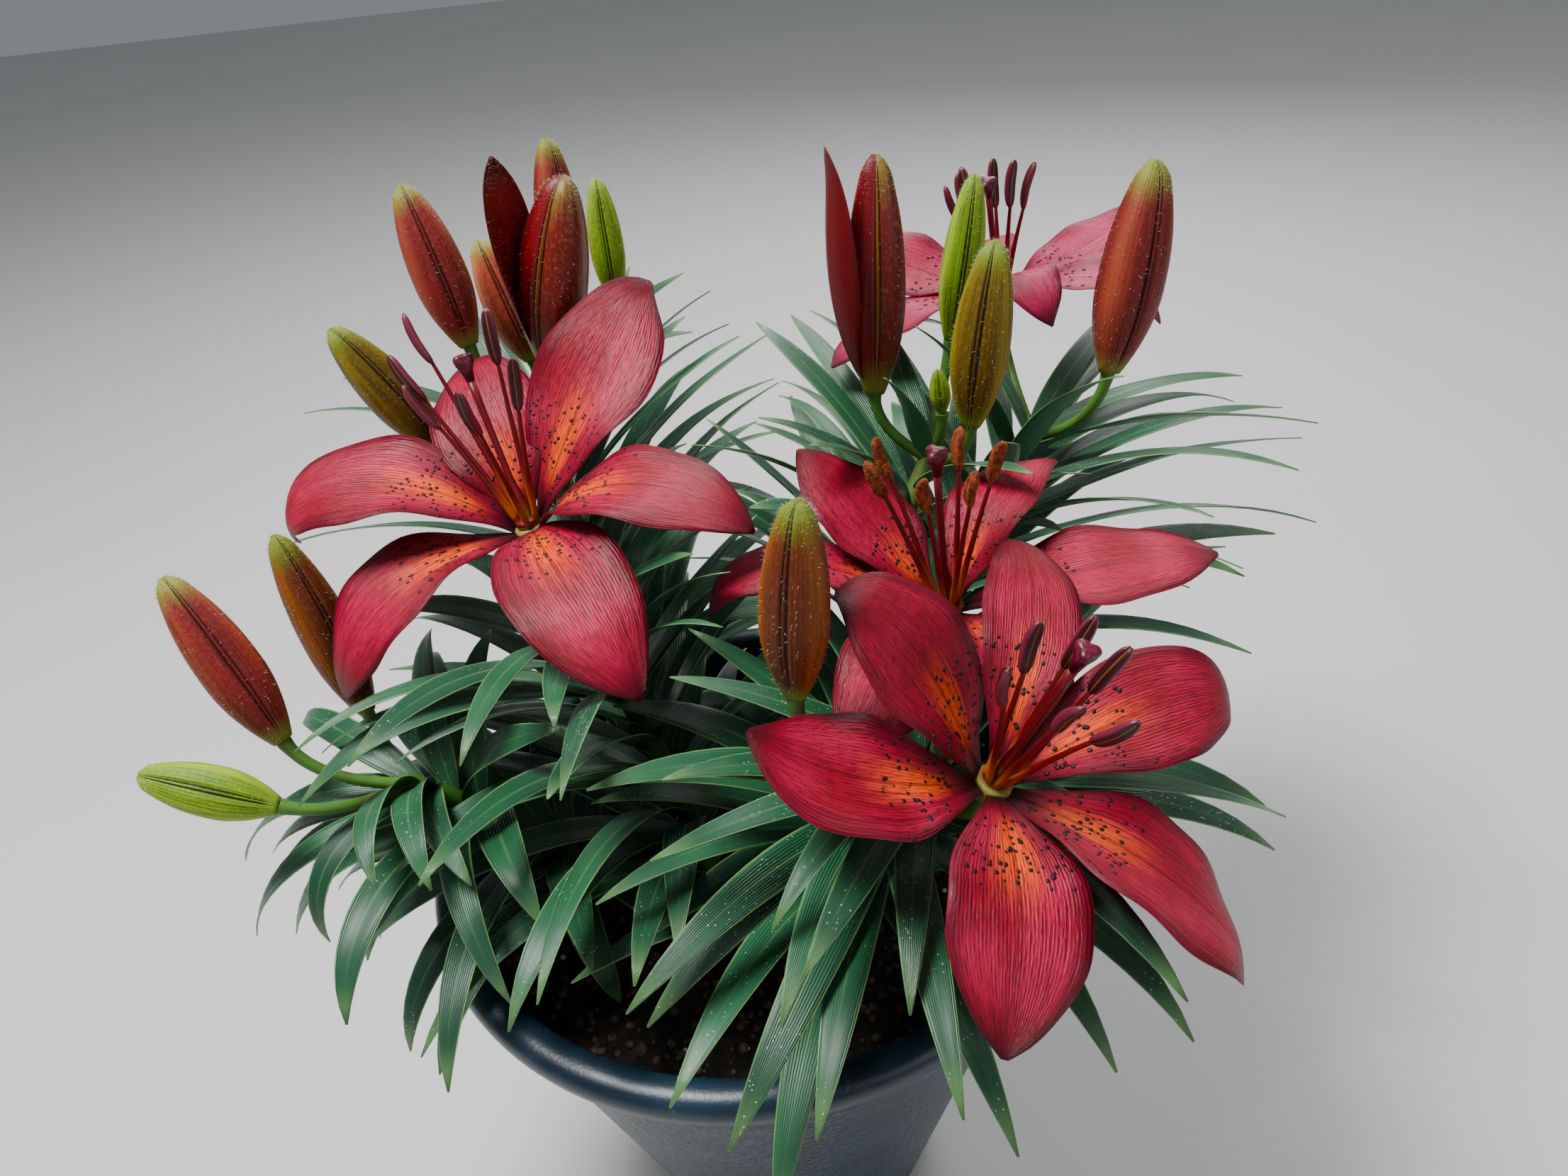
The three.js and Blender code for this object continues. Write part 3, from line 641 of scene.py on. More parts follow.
def leaf_blade(index: int, count: int, turn: float, stem: Stem, draw: Seeded) -> tuple[float, Blade]:
    """Shapes a leaf by its height on the stem.

    Args:
        index: The leaf's place on the stem, from the top.
        count: The number of places.
        turn: The azimuth of the top leaf, from the stem's own.
        stem: The stem.
        draw: The generator of the stem's small differences.

    Returns:
        The leaf's share of the stem's height, and its blade.
    """
    height = 1 - (index + 0.5) / count
    upper = height ** 3
    even = stem.turn + turn + index * GOLDEN_ANGLE + 10 * draw.either_way()
    azimuth = even - stem.pull * math.sin((even - stem.lit) * DEG) / DEG
    outward = math.atan2(stem.top[1], stem.top[0]) - azimuth * DEG
    inward = max(0, -math.cos(outward))
    rise = 42 + 4 * height - 8 * inward + 9 * draw.either_way()
    droop = 116 - 16 * height - 26 * inward + stem.droop * (1 - inward) + 12 * draw.either_way()
    length = stem.reach * (124 - 36 * upper + 7 * draw.either_way()) * (1 - 0.25 * inward)
    width = 14.5 - 3 * upper + 1.2 * draw.either_way()
    ease = 1.3 + 0.4 * draw()
    sway = 14 * draw.either_way()
    twist = 26 * draw.either_way()
    return height, Blade(azimuth, rise, droop, length, width, ease=ease, sway=sway, twist=twist,
                         root=-1.8, cup=0.03, tip_cup=0.01, outline=Outline.LEAF)


def grow_leaves() -> list[list[Leaf]]:
    """Grows every stem's leaves clear of all that belongs to other pieces.

    Returns:
        A list of leaves for each stem.
    """
    crowd = Crowd()
    grown: list[list[Leaf]] = [[] for _ in STEMS]
    for flush in FLUSHES:
        for owner in flush.order:
            grow_flush(crowd, flush, owner, grown[owner])
    return grown


def grow_flush(crowd: Crowd, flush: Flush, owner: int, grown: list[Leaf]) -> None:
    """Grows one flush of leaves on one stem.

    Args:
        crowd: All that has grown so far.
        flush: The flush.
        owner: The stem's place in the list.
        grown: The stem's leaves, to which the new ones are added.
    """
    draw = Seeded(flush.seed + owner)
    curve = STEMS[owner].curve()
    for index in range(flush.counts[owner]):
        height, leaf = leaf_blade(index, flush.counts[owner], flush.turn, STEMS[owner], draw)
        place = 0.05 + 0.93 * height
        origin = curve.point(place)
        axis = unit(curve.tangent(place) * 0.4 + Z_AXIS * 0.6)
        for turn, drop, share in NUDGES:
            blade = replace(leaf, azimuth=leaf.azimuth + turn, droop=leaf.droop + drop,
                            length=leaf.length * share)
            points = blade.grid(origin, axis, 18, 2)[0].reshape(-1, 3)
            beyond = points[LEAF_FOOT:]
            if hits_pot(beyond) or not crowd.is_clear(beyond, owner, OWN_STEM):
                continue
            crowd.add(points, owner)
            grown.append(Leaf(origin, axis, blade))
            break


# Meshes


@dataclass
class Draft:
    """Gathers closed bodies into one mesh, in millimetres."""

    points: list[Array] = field(default_factory=list)
    faces: list[Array] = field(default_factory=list)
    corners: list[Array] = field(default_factory=list)
    tints: list[Array] = field(default_factory=list)
    unders: list[Array] = field(default_factory=list)
    slots: list[int] = field(default_factory=list)
    total: int = 0

    def add_points(self, points: Array, tint: float, under: Array | float) -> int:
        """Adds points.

        Args:
            points: The points, one a row.
            tint: The body's own random number, for its colour.
            under: 1 on a blade's underside and 0 elsewhere.

        Returns:
            The number of the first new point.
        """
        first = self.total
        self.points.append(points)
        self.tints.append(np.full(len(points), tint))
        self.unders.append(np.ones(len(points)) * under)
        self.total += len(points)
        return first

    def add_faces(self, faces: Array, corners: Array, slot: int) -> None:
        """Adds faces of one size.

        Args:
            faces: Point numbers, one face a row.
            corners: The UV place of each corner, as faces by corners by 2.
            slot: The material slot.
        """
        self.faces.append(faces)
        self.corners.append(corners)
        self.slots.extend([slot] * len(faces))

    def add_rings(self, rings: Array, slot: int = 0, tint: float = 0.5,
                  span: tuple[float, float] = (0.0, 1.0), around: Optional[Array] = None) -> None:
        """Adds a closed body through rings of points.

        Args:
            rings: Rings by sides by 3, anticlockwise about their axis.
            slot: The material slot.
            tint: The body's own random number.
            span: The V of its first and last ring.
            around: U at each side and at the seam, where the sides are uneven.
        """
        count, sides, _ = rings.shape
        if around is None:
            around = np.arange(sides + 1) / sides
        first = self.add_points(rings.reshape(-1, 3), tint, 0.0)
        ring, side = np.meshgrid(np.arange(count - 1), np.arange(sides), indexing="ij")
        ring, side = ring.ravel(), side.ravel()
        ahead = (side + 1) % sides
        faces = np.stack([ring * sides + side, ring * sides + ahead,
                          (ring + 1) * sides + ahead, (ring + 1) * sides + side], 1)
        low = span[0] + (span[1] - span[0]) * ring / (count - 1)
        high = span[0] + (span[1] - span[0]) * (ring + 1) / (count - 1)
        left, right = around[side], around[side + 1]
        corners = np.stack([np.stack([left, low], 1), np.stack([right, low], 1),
                            np.stack([right, high], 1), np.stack([left, high], 1)], 1)
        self.add_faces(faces + first, corners, slot)
        number = np.arange(sides)
        for cap, level in ((number[::-1], span[0]), ((count - 1) * sides + number, span[1])):
            flat = np.stack([number / sides, np.full(sides, level)], 1)[None]
            self.add_faces((cap + first)[None], flat, slot)

    def add_sheet(self, top: Array, bottom: Array, slot: int, tint: float) -> None:
        """Adds a closed blade between two grids of points.

        Args:
            top: The upper surface, rows by columns by 3.
            bottom: The lower surface, of the same shape.
            slot: The material slot.
            tint: The body's own random number.
        """
        rows, columns = top.shape[0], top.shape[1]
        size = rows * columns
        under = np.concatenate([np.zeros(size), np.ones(size)])
        first = self.add_points(np.concatenate([top.reshape(-1, 3), bottom.reshape(-1, 3)]), tint, under)
        v, u = np.meshgrid(np.linspace(0, 1, rows), np.linspace(0, 1, columns), indexing="ij")
        place = np.tile(np.stack([u.ravel(), v.ravel()], 1), (2, 1))
        i, j = np.meshgrid(np.arange(rows - 1), np.arange(columns - 1), indexing="ij")
        a = (i * columns + j).ravel()
        upper = np.stack([a, a + columns, a + columns + 1, a + 1], 1)
        lower = upper[:, ::-1] + size
        left = np.arange(rows - 1) * columns
        right = left + columns - 1
        root = np.arange(columns - 1)
        tip = root + (rows - 1) * columns
        strips = [
            np.stack([left, left + size, left + columns + size, left + columns], 1),
            np.stack([right + columns, right + columns + size, right + size, right], 1),
            np.stack([root + 1, root + 1 + size, root + size, root], 1),
            np.stack([tip, tip + size, tip + 1 + size, tip + 1], 1),
        ]
        faces = np.concatenate([upper, lower, *strips])
        self.add_faces(faces + first, place[faces], slot)

    def build(self, name: str, materials: Sequence[bpy.types.Material]) -> bpy.types.Object:
        """Makes the object.

        Args:
            name: The piece's name.
            materials: Its materials, in the order of the slots.

        Returns:
            The object, in metres, linked to the scene.
        """
        mesh = bpy.data.meshes.new(name)
        points = np.concatenate(self.points) * MM
        faces = [face.tolist() for group in self.faces for face in group]
        mesh.from_pydata(points.tolist(), [], faces)
        layer = mesh.uv_layers.new(name="surface")
        layer.data.foreach_set("uv", np.concatenate([c.reshape(-1, 2) for c in self.corners]).ravel())
        write_numbers(mesh, "tint", np.concatenate(self.tints))
        write_numbers(mesh, "under", np.concatenate(self.unders))
        mesh.polygons.foreach_set("material_index", np.array(self.slots, np.int32))
        mesh.polygons.foreach_set("use_smooth", np.ones(len(faces), bool))
        for material in materials:
            mesh.materials.append(material)
        mesh.update()
        return link(name, mesh)


@dataclass(frozen=True)
class Relief:
    """How a fine blade departs from its smooth middle surface, in millimetres."""

    thickness: float = 0.9
    edge: float = 0.4
    groove: float = 0.5
    groove_width: float = 0.1
    ruffle: float = 0.9
    waves: float = 3.0
    rows: int = 40
    columns: int = 12

    def add(self, draft: Draft, blade: Blade, origin: Array, axis: Array, slot: int,
            draw: Seeded) -> None:
        """Adds the fine blade to a draft.

        Args:
            draft: The mesh that it joins.
            blade: The blade.
            origin: The point that it leaves from.
            axis: The axis that it leaves.
            slot: Its material slot.
            draw: The generator of its small differences.
        """
        points, normals = blade.grid(origin, axis, self.rows, self.columns, least=0.05)
        v = np.linspace(0, 1, self.rows + 1)[:, None]
        u = np.linspace(-1, 1, self.columns + 1)[None, :]
        left, right = draw() * PHASES, draw() * PHASES
        phase = np.where(u < 0, left, right)
        wave = np.sin(v * self.waves * 2 * math.pi + phase)
        wave = wave * np.abs(u) ** 2.4 * np.sin(math.pi * v) ** 0.7
        centre = np.exp(-(u / self.groove_width) ** 2) * np.sin(math.pi * np.clip(v, 0, 1) ** 0.8)
        middle = points + normals * (self.ruffle * wave - self.groove * centre)[..., None]
        share = 1 - (1 - self.edge) * np.abs(u) ** 3
        half = (self.thickness / 2 * share * (1 - 0.5 * v ** 4))[..., None]
        draft.add_sheet(middle + normals * half, middle - normals * half, slot, draw())


# Node trees


@dataclass(frozen=True)
class Signal:
    """A number inside a node tree, from which others are calculated."""

    tree: "Tree"
    socket: bpy.types.NodeSocket

    def __add__(self, other: "Number") -> "Signal":
        """Returns the sum."""
        return self.tree.math("ADD", self, other)

    def __sub__(self, other: "Number") -> "Signal":
        """Returns the difference."""
        return self.tree.math("SUBTRACT", self, other)

    def __mul__(self, other: "Number") -> "Signal":
        """Returns the product."""
        return self.tree.math("MULTIPLY", self, other)

    def __abs__(self) -> "Signal":
        """Returns the number without its sign."""
        return self.tree.math("ABSOLUTE", self)

    def sine(self) -> "Signal":
        """Returns the sine."""
        return self.tree.math("SINE", self)

    def fraction(self) -> "Signal":
        """Returns the part behind the whole number."""
        return self.tree.math("FRACT", self)

    def step(self, low: float, high: float, bottom: float = 0.0, top: float = 1.0) -> "Signal":
        """Returns a smooth step.

        Args:
            low: The number at which it starts.
            high: The number at which it ends, which may be the smaller one.
            bottom: The step's value at its start.
            top: The step's value at its end.

        Returns:
            The step's value.
        """
        node = self.tree.add("ShaderNodeMapRange", {"Value": self, "From Min": low, "From Max": high,
                                                    "To Min": bottom, "To Max": top},
                             interpolation_type="SMOOTHSTEP")
        return Signal(self.tree, node.outputs["Result"])


Number = Signal | bpy.types.NodeSocket | float
Paint = bpy.types.NodeSocket | Colour


class Tree:
    """Adds nodes to a tree and links them."""

    def __init__(self, tree: bpy.types.NodeTree) -> None:
        """Takes the tree to be filled."""
        self.tree = tree

    def add(self, kind: str, inputs: Optional[dict] = None, **settings) -> bpy.types.Node:
        """Adds a node.

        Args:
            kind: The node's type.
            inputs: A value, a socket or a signal for each named or numbered input.
            **settings: The node's own properties.

        Returns:
            The node.
        """
        node = self.tree.nodes.new(kind)
        for key, value in settings.items():
            setattr(node, key, value)
        for key, value in (inputs or {}).items():
            socket = value.socket if isinstance(value, Signal) else value
            if isinstance(socket, bpy.types.NodeSocket):
                self.tree.links.new(socket, node.inputs[key])
            else:
                node.inputs[key].default_value = socket
        return node

    def math(self, operation: str, first: Number, second: Number = 0.0) -> Signal:
        """Returns the result of a calculation on two numbers."""
        node = self.add("ShaderNodeMath", {0: first, 1: second}, operation=operation)
        return Signal(self, node.outputs[0])


class Shader(Tree):
    """A material with a principled shader and short ways to make its patterns."""

    def __init__(self, name: str, roughness: float, specular: float = 0.5) -> None:
        """Makes the material.

        Args:
            name: The material's name.
            roughness: The roughness all over the surface.
            specular: The specular level all over the surface.
        """
        self.material = bpy.data.materials.new(name)
        self.material.use_nodes = True
        super().__init__(self.material.node_tree)
        self.surface = self.tree.nodes["Principled BSDF"]
        self.give({"Roughness": roughness, "Specular IOR Level": specular})

    def give(self, values: dict[str, float | Colour]) -> None:
        """Sets some of the surface's plain values."""
        for name, value in values.items():
            self.surface.inputs[name].default_value = value

    def mix(self, factor: Number, first: Paint, second: Paint) -> bpy.types.NodeSocket:
        """Returns a mix of two colours."""
        whole = [(*paint, 1) if isinstance(paint, tuple) else paint for paint in (first, second)]
        node = self.add("ShaderNodeMix", {0: factor, 6: whole[0], 7: whole[1]}, data_type="RGBA",
                        clamp_factor=True)
        return node.outputs[2]

    def colour(self, base: Paint, *coats: tuple[Number, Paint]) -> None:
        """Sets the surface's colour.

        Args:
            base: The colour that lies lowest.
            *coats: For each colour over it, how much it covers, and the colour.
        """
        self.tree.links.new(self.layers(base, *coats), self.surface.inputs["Base Color"])

    def layers(self, base: Paint, *coats: tuple[Number, Paint]) -> Paint:
        """Lays colours over one another.

        Args:
            base: The colour that lies lowest.
            *coats: For each colour over it, how much it covers, and the colour.

        Returns:
            What they come to.
        """
        for cover, paint in coats:
            base = self.mix(cover, base, paint)
        return base

    def attribute(self, name: str) -> Signal:
        """Returns a number that the mesh carries."""
        return Signal(self, self.add("ShaderNodeAttribute", attribute_name=name).outputs["Fac"])

    def parts(self, vector: bpy.types.NodeSocket) -> list[Signal]:
        """Returns the three parts of a vector."""
        return [Signal(self, part) for part in self.add("ShaderNodeSeparateXYZ", {0: vector}).outputs]

    def uv(self) -> list[Signal]:
        """Returns U and V of the piece's own surface."""
        return self.parts(self.add("ShaderNodeUVMap", uv_map="surface").outputs["UV"])[:2]

    def place(self, scale: Sequence[float] = (1, 1, 1)) -> bpy.types.NodeSocket:
        """Returns object coordinates, stretched by a scale."""
        source = self.add("ShaderNodeTexCoord").outputs["Object"]
        return self.add("ShaderNodeMapping", {"Vector": source, "Scale": scale}).outputs[0]

    def noise(self, scale: float, detail: float = 2.0, rough: float = 0.5,
              vector: Optional[bpy.types.NodeSocket] = None) -> Signal:
        """Returns a soft random pattern.

        Args:
            scale: How many of its patches fit into a metre.
            detail: How fine the pattern goes.
            rough: How strong its fine part is.
            vector: Where it is read, or None for the object's own coordinates.

        Returns:
            The pattern.
        """
        node = self.add("ShaderNodeTexNoise", {"Vector": vector or self.place(), "Scale": scale,
                                               "Detail": detail, "Roughness": rough})
        return Signal(self, node.outputs[0])

    def streaks(self, across: Number, along: Number, each: Number = 0.0, detail: float = 2.0,
                rough: float = 0.5) -> Signal:
        """Returns a random pattern that is stretched along a piece.

        Args:
            across: U times the streaks' number.
            along: V times the streaks' number.
            each: A number that differs from body to body.
            detail: How fine the pattern goes.
            rough: How strong its fine part is.

        Returns:
            The pattern.
        """
        vector = self.add("ShaderNodeCombineXYZ", {0: across, 1: along, 2: each}).outputs[0]
        return self.noise(1.0, detail, rough, vector)

    def cells(self, scale: float, randomness: float = 1.0) -> Signal:
        """Returns the distance to the nearest of many scattered points."""
        node = self.add("ShaderNodeTexVoronoi", {"Vector": self.place(), "Scale": scale,
                                                 "Randomness": randomness})
        return Signal(self, node.outputs["Distance"])

    def bump(self, height: Number, depth: float, strength: float = 1.0) -> None:
        """Raises the surface by a pattern.

        Args:
            height: The pattern.
            depth: The height of a full step, in millimetres.
            strength: The share of it that is used.
        """
        node = self.add("ShaderNodeBump", {"Height": height, "Distance": depth * MM,
                                           "Strength": strength})
        self.tree.links.new(node.outputs[0], self.surface.inputs["Normal"])


# Finishes


class Finish:
    """A way to paint a surface, with its roughness and its specular level."""

    name: str
    sheen: ClassVar[tuple[float, float]] = (0.5, 0.5)

    def paint(self, shader: Shader) -> None:
        """Paints a material's surface."""
        raise NotImplementedError

    def material(self) -> bpy.types.Material:
        """Returns the finish as a new material."""
        shader = Shader(self.name, *self.sheen)
        self.paint(shader)
        return shader.material


@dataclass(frozen=True)
class TepalFinish(Finish):
    """The upper and under sides of tepals: flame, throat, veins and margins."""

    name: str
    rose: Colour = srgb(148, 0, 34)
    pink: Colour = srgb(186, 10, 62)
    deep: Colour = srgb(56, 0, 16)
    flame: Colour = srgb(252, 84, 6)
    throat: Colour = srgb(24, 0, 8)
    under: Colour = srgb(150, 6, 22)
    flame_end: float = 0.62
    sheen: ClassVar[tuple[float, float]] = (0.42, 0.28)

    def paint(self, shader: Shader) -> None:
        """Paints a material's surface."""
        u, v = shader.uv()
        tint = shader.attribute("tint")
        side = abs(u * 2 - 1)
        streak = shader.streaks(u * 38, v * 2.2, tint * 40, 4, 0.68)
        soft = shader.streaks(u * 2, v * 4, tint * 70)
        dash = shader.streaks(u * 70, v * 26, tint * 90)
        line = (u * 230 + soft * 5).sine()
        veins = line.step(0.2, 1)
        spread = side + streak * 0.75
        reach = v + streak * 0.22
        flame = spread.step(0.86, 0.42) * v.step(0.09, 0.24)
        flame = flame * reach.step(self.flame_end + 0.08, self.flame_end - 0.22)
        rib = side.step(0.06, 0) * v.step(0.95, 0.3)
        upper = shader.layers(
            self.rose,
            (soft.step(0.3, 0.72), self.pink),
            (streak.step(0.42, 0.75) * 0.5, self.deep),
            (flame, self.flame),
            (veins * dash.step(0.3, 0.6) * 0.6, self.deep),
            (dash.step(0.5, 0.74, 0, 0.45), self.deep),
            (rib * 0.6, self.deep),
            (reach.step(0.3, 0.12), self.throat),
            (v.step(0.82, 1) * 0.75, self.deep),
            (spread.step(0.95, 1.35) * 0.6, self.deep),
        )
        below = shader.mix(veins * 0.35, self.under, self.deep)
        shader.colour(upper, (shader.attribute("under"), below))
        shader.bump(line * 0.12 + (streak + dash), 0.45, 0.8)
        shader.give({"Subsurface Weight": 0.12, "Subsurface Radius": (1.0, 0.25, 0.2),
                     "Subsurface Scale": 0.002})


@dataclass(frozen=True)
class LeafFinish(Finish):
    """Green leaves with parallel veins, pale margins and a few white specks."""

    name: str = "leaf_green"
    deep: Colour = srgb(6, 48, 32)
    fresh: Colour = srgb(44, 114, 72)
    margin: Colour = srgb(126, 170, 96)
    under: Colour = srgb(66, 118, 84)
    speck: Colour = srgb(220, 228, 214)
    sheen: ClassVar[tuple[float, float]] = (0.38, 0.5)

    def paint(self, shader: Shader) -> None:
        """Paints a material's surface."""
        u, v = shader.uv()
        side = abs(u * 2 - 1)
        soft = shader.noise(22, 3)
        line = (u * 88).sine()
        rib = side.step(0.14, 0) * v.step(1, 0.5)
        specks = shader.cells(560).step(0.17, 0.1)
        patch = shader.noise(34, 1).step(0.46, 0.62)
        upper = shader.layers(
            self.deep,
            (shader.attribute("tint") * 0.6 + soft * 0.4, self.fresh),
            (line.step(0.3, 1) * 0.28, self.deep),
            (rib * 0.3, self.margin),
            (side.step(0.86, 1) * 0.75, self.margin),
            (v.step(0.86, 1) * 0.5, self.margin),
        )
        below = shader.mix(line.step(0.2, 1) * 0.25, self.under, self.deep)
        shader.colour(upper, (shader.attribute("under"), below), (specks * (patch * 0.7), self.speck))
        shader.bump(line + soft * 0.6, 0.25, 0.5)
        shader.give({"Coat Weight": 0.25, "Coat Roughness": 0.3})


@dataclass(frozen=True)
class StemFinish(Finish):
    """Stems and flower stalks: green, with a brown red flush and fine ribs."""

    name: str = "stem_green"
    green: Colour = srgb(74, 122, 40)
    flush: Colour = srgb(74, 72, 26)
    sheen: ClassVar[tuple[float, float]] = (0.5, 0.4)

    def paint(self, shader: Shader) -> None:
        """Paints a material's surface."""
        soft = shader.noise(60, 3, vector=shader.place((1, 1, 0.3)))
        specks = shader.cells(700).step(0.2, 0.1)
        shader.colour(self.green, (soft.step(0.4, 0.75), self.flush), (specks * 0.35, self.flush))
        shader.bump(shader.noise(420, vector=shader.place((1, 1, 0.12))), 0.3, 0.5)


BUD_COLOURS: dict[Tint, tuple[Colour, Colour, Colour]] = {
    Tint.RED: (srgb(116, 14, 22), srgb(156, 66, 44), srgb(132, 142, 46)),
    Tint.PINK: (srgb(158, 56, 36), srgb(206, 116, 78), srgb(140, 150, 60)),
    Tint.BROWN: (srgb(96, 34, 6), srgb(150, 80, 16), srgb(118, 138, 34)),
    Tint.OLIVE: (srgb(96, 74, 4), srgb(140, 124, 18), srgb(122, 146, 34)),
    Tint.GREEN: (srgb(100, 140, 6), srgb(156, 186, 36), srgb(136, 168, 48)),
}


def degrees_from_keel(u: Signal) -> Signal:
    """Returns how far round a bud a place is from the nearest of its three keels."""
    return abs((u * 3).fraction() - 0.5) * 120


@dataclass(frozen=True)
class BudFinish(Finish):
    """Buds: lengthwise veins, dark grooves, greener base and tip."""

    name: str
    body: Colour
    ridge: Colour
    ends: Colour
    groove: Colour = srgb(62, 16, 8)
    dark: Colour = srgb(20, 6, 3)
    sheen: ClassVar[tuple[float, float]] = (0.5, 0.3)

    def paint(self, shader: Shader) -> None:
        """Paints a material's surface."""
        u, v = shader.uv()
        keel = degrees_from_keel(u)
        streak = shader.streaks(u * 26, v * 1.4, shader.attribute("tint") * 30, 4, 0.65)
        fleck = shader.noise(900, vector=shader.place((1, 1, 0.6)))
        seam = abs(keel - KEEL_SEAM).step(3.4, 1.2) * v.step(0.02, 0.12)
        shader.colour(
            self.ridge,
            (keel.step(60, 26, 0, 0.9), self.body),
            (streak.step(0.42, 0.7) * 0.6, self.groove),
            (fleck.step(0.5, 0.7) * 0.3, self.ridge),
            (v.step(0.14, 0) * 0.8, self.ends),
            ((v + streak * 0.2).step(0.9, 1.1, 0, 0.95), self.ends),
            (seam * 0.9, self.dark),
        )
        shader.bump((u * 260).sine() * 0.2 + (streak + fleck), 0.3, 0.7)


@dataclass(frozen=True)
class OpeningFinish(Finish):
    """Opening buds: two outer tepals left, and crimson inner ones where the third has gone."""

    name: str = "opening_core"
    crimson: Colour = srgb(128, 0, 12)
    outer: Colour = srgb(104, 16, 14)
    gold: Colour = srgb(150, 84, 16)
    ends: Colour = srgb(132, 144, 44)
    dark: Colour = srgb(20, 0, 3)
    sheen: ClassVar[tuple[float, float]] = (0.42, 0.45)

    def paint(self, shader: Shader) -> None:
        """Paints a material's surface."""
        u, v = shader.uv()
        keel = degrees_from_keel(u)
        streak = shader.streaks(u * 34, v * 1.6, 0.0, 4, 0.65)
        fleck = shader.noise(800, vector=shader.place((1, 1, 0.6)))
        outer = shader.layers(
            self.outer,
            (fleck.step(0.46, 0.74, 0, 0.6), self.gold),
            ((v + streak).step(1.28, 1.6), self.ends),
            (streak.step(0.4, 0.65) * 0.6, self.crimson),
        )
        inner = shader.mix(streak.step(0.42, 0.7, 0, 0.75), self.crimson, self.dark)
        shader.colour(
            outer,
            (abs(u - 2 / 3).step(0.165, 0.15), inner),
            (keel.step(4.6, 3.4, 0, 0.85), self.gold),
            (abs(keel - 6).step(3, 1.2, 0, 0.95), self.dark),
            (v.step(0.2, 0.02, 0, 0.7), self.ends),
        )
        shader.bump(streak + fleck, 0.3, 0.6)


@dataclass(frozen=True)
class PlainFinish(Finish):
    """A mottled finish of two colours with a fine grain."""

    name: str
    first: Colour
    second: Colour
    roughness: float
    scale: float
    depth: float
    grain: float = 900.0

    @property
    def sheen(self) -> tuple[float, float]:
        """Returns its own roughness and specular level."""
        return self.roughness, 0.4

    def paint(self, shader: Shader) -> None:
        """Paints a material's surface."""
        soft = shader.noise(self.scale, 3, 0.6)
        shader.colour(self.first, (soft.step(0.35, 0.68), self.second))
        shader.bump(shader.noise(self.grain), self.depth, 0.6)


@dataclass(frozen=True)
class AntherFinish(Finish):
    """Closed anthers: maroon lobes with paler ridges and a tan strip in the seam."""

    name: str = "anther_maroon"
    lobe: Colour = srgb(56, 4, 16)
    ridge: Colour = srgb(128, 40, 62)
    seam: Colour = srgb(150, 96, 40)
    sheen: ClassVar[tuple[float, float]] = (0.42, 0.45)

    def paint(self, shader: Shader) -> None:
        """Paints a material's surface."""
        u, _ = shader.uv()
        off = abs((u * 2).fraction() - 0.5)
        grain = shader.noise(500, 3)
        shader.colour(self.lobe, (off.step(0.22, 0.34, 0, 0.8), self.ridge),
                      (off.step(0.06, 0.03, 0, 0.9), self.seam), (grain * 0.35, self.lobe))
        shader.bump(grain, 0.2, 0.5)


@dataclass(frozen=True)
class FilamentFinish(Finish):
    """Stalks of stamens and pistil: yellow orange at the foot, dark red above."""

    name: str
    foot: Colour
    top: Colour
    change: float = 0.3
    sheen: ClassVar[tuple[float, float]] = (0.4, 0.45)

    def paint(self, shader: Shader) -> None:
        """Paints a material's surface."""
        _, v = shader.uv()
        mottle = shader.noise(260)
        shader.colour(self.foot, (v.step(0.05, self.change), self.top), (mottle * 0.3, self.top))
        shader.bump(mottle, 0.15, 0.4)


@dataclass(frozen=True)
class PotFinish(Finish):
    """Slate blue plastic: smooth rim and band, a dimpled wall, and a little dust."""

    name: str = "pot_blue"
    blue: Colour = srgb(26, 52, 68)
    shade: Colour = srgb(16, 34, 48)
    dust: Colour = srgb(120, 134, 142)
    band_foot: float = 0.172
    sheen: ClassVar[tuple[float, float]] = (0.36, 0.5)

    def paint(self, shader: Shader) -> None:
        """Paints a material's surface."""
        height = shader.parts(shader.place())[2]
        wall = height.step(self.band_foot + 0.001, self.band_foot - 0.001)
        dimples = shader.cells(330, 0.8)
        mottle = shader.noise(30, 4, 0.6)
        dust = shader.noise(180, 4, 0.7).step(0.58, 0.8)
        shader.colour(self.shade, (mottle.step(0.35, 0.7), self.blue),
                      (dimples.step(0.45, 0.1) * wall * 0.25, self.shade), (dust * 0.35, self.dust))
        shader.bump(dimples * wall + shader.noise(900) * 0.08, 1.1, 0.8)


@dataclass(frozen=True)
class SoilFinish(Finish):
    """Dark moist peat."""

    name: str = "peat"
    dark: Colour = srgb(12, 9, 7)
    light: Colour = srgb(48, 36, 27)
    sheen: ClassVar[tuple[float, float]] = (0.9, 0.3)

    def paint(self, shader: Shader) -> None:
        """Paints a material's surface."""
        coarse = shader.noise(160, 6, 0.7)
        shader.colour(self.dark, (coarse.step(0.4, 0.75), self.light))
        shader.bump(coarse, 2.5, 0.9)


# Geometry nodes


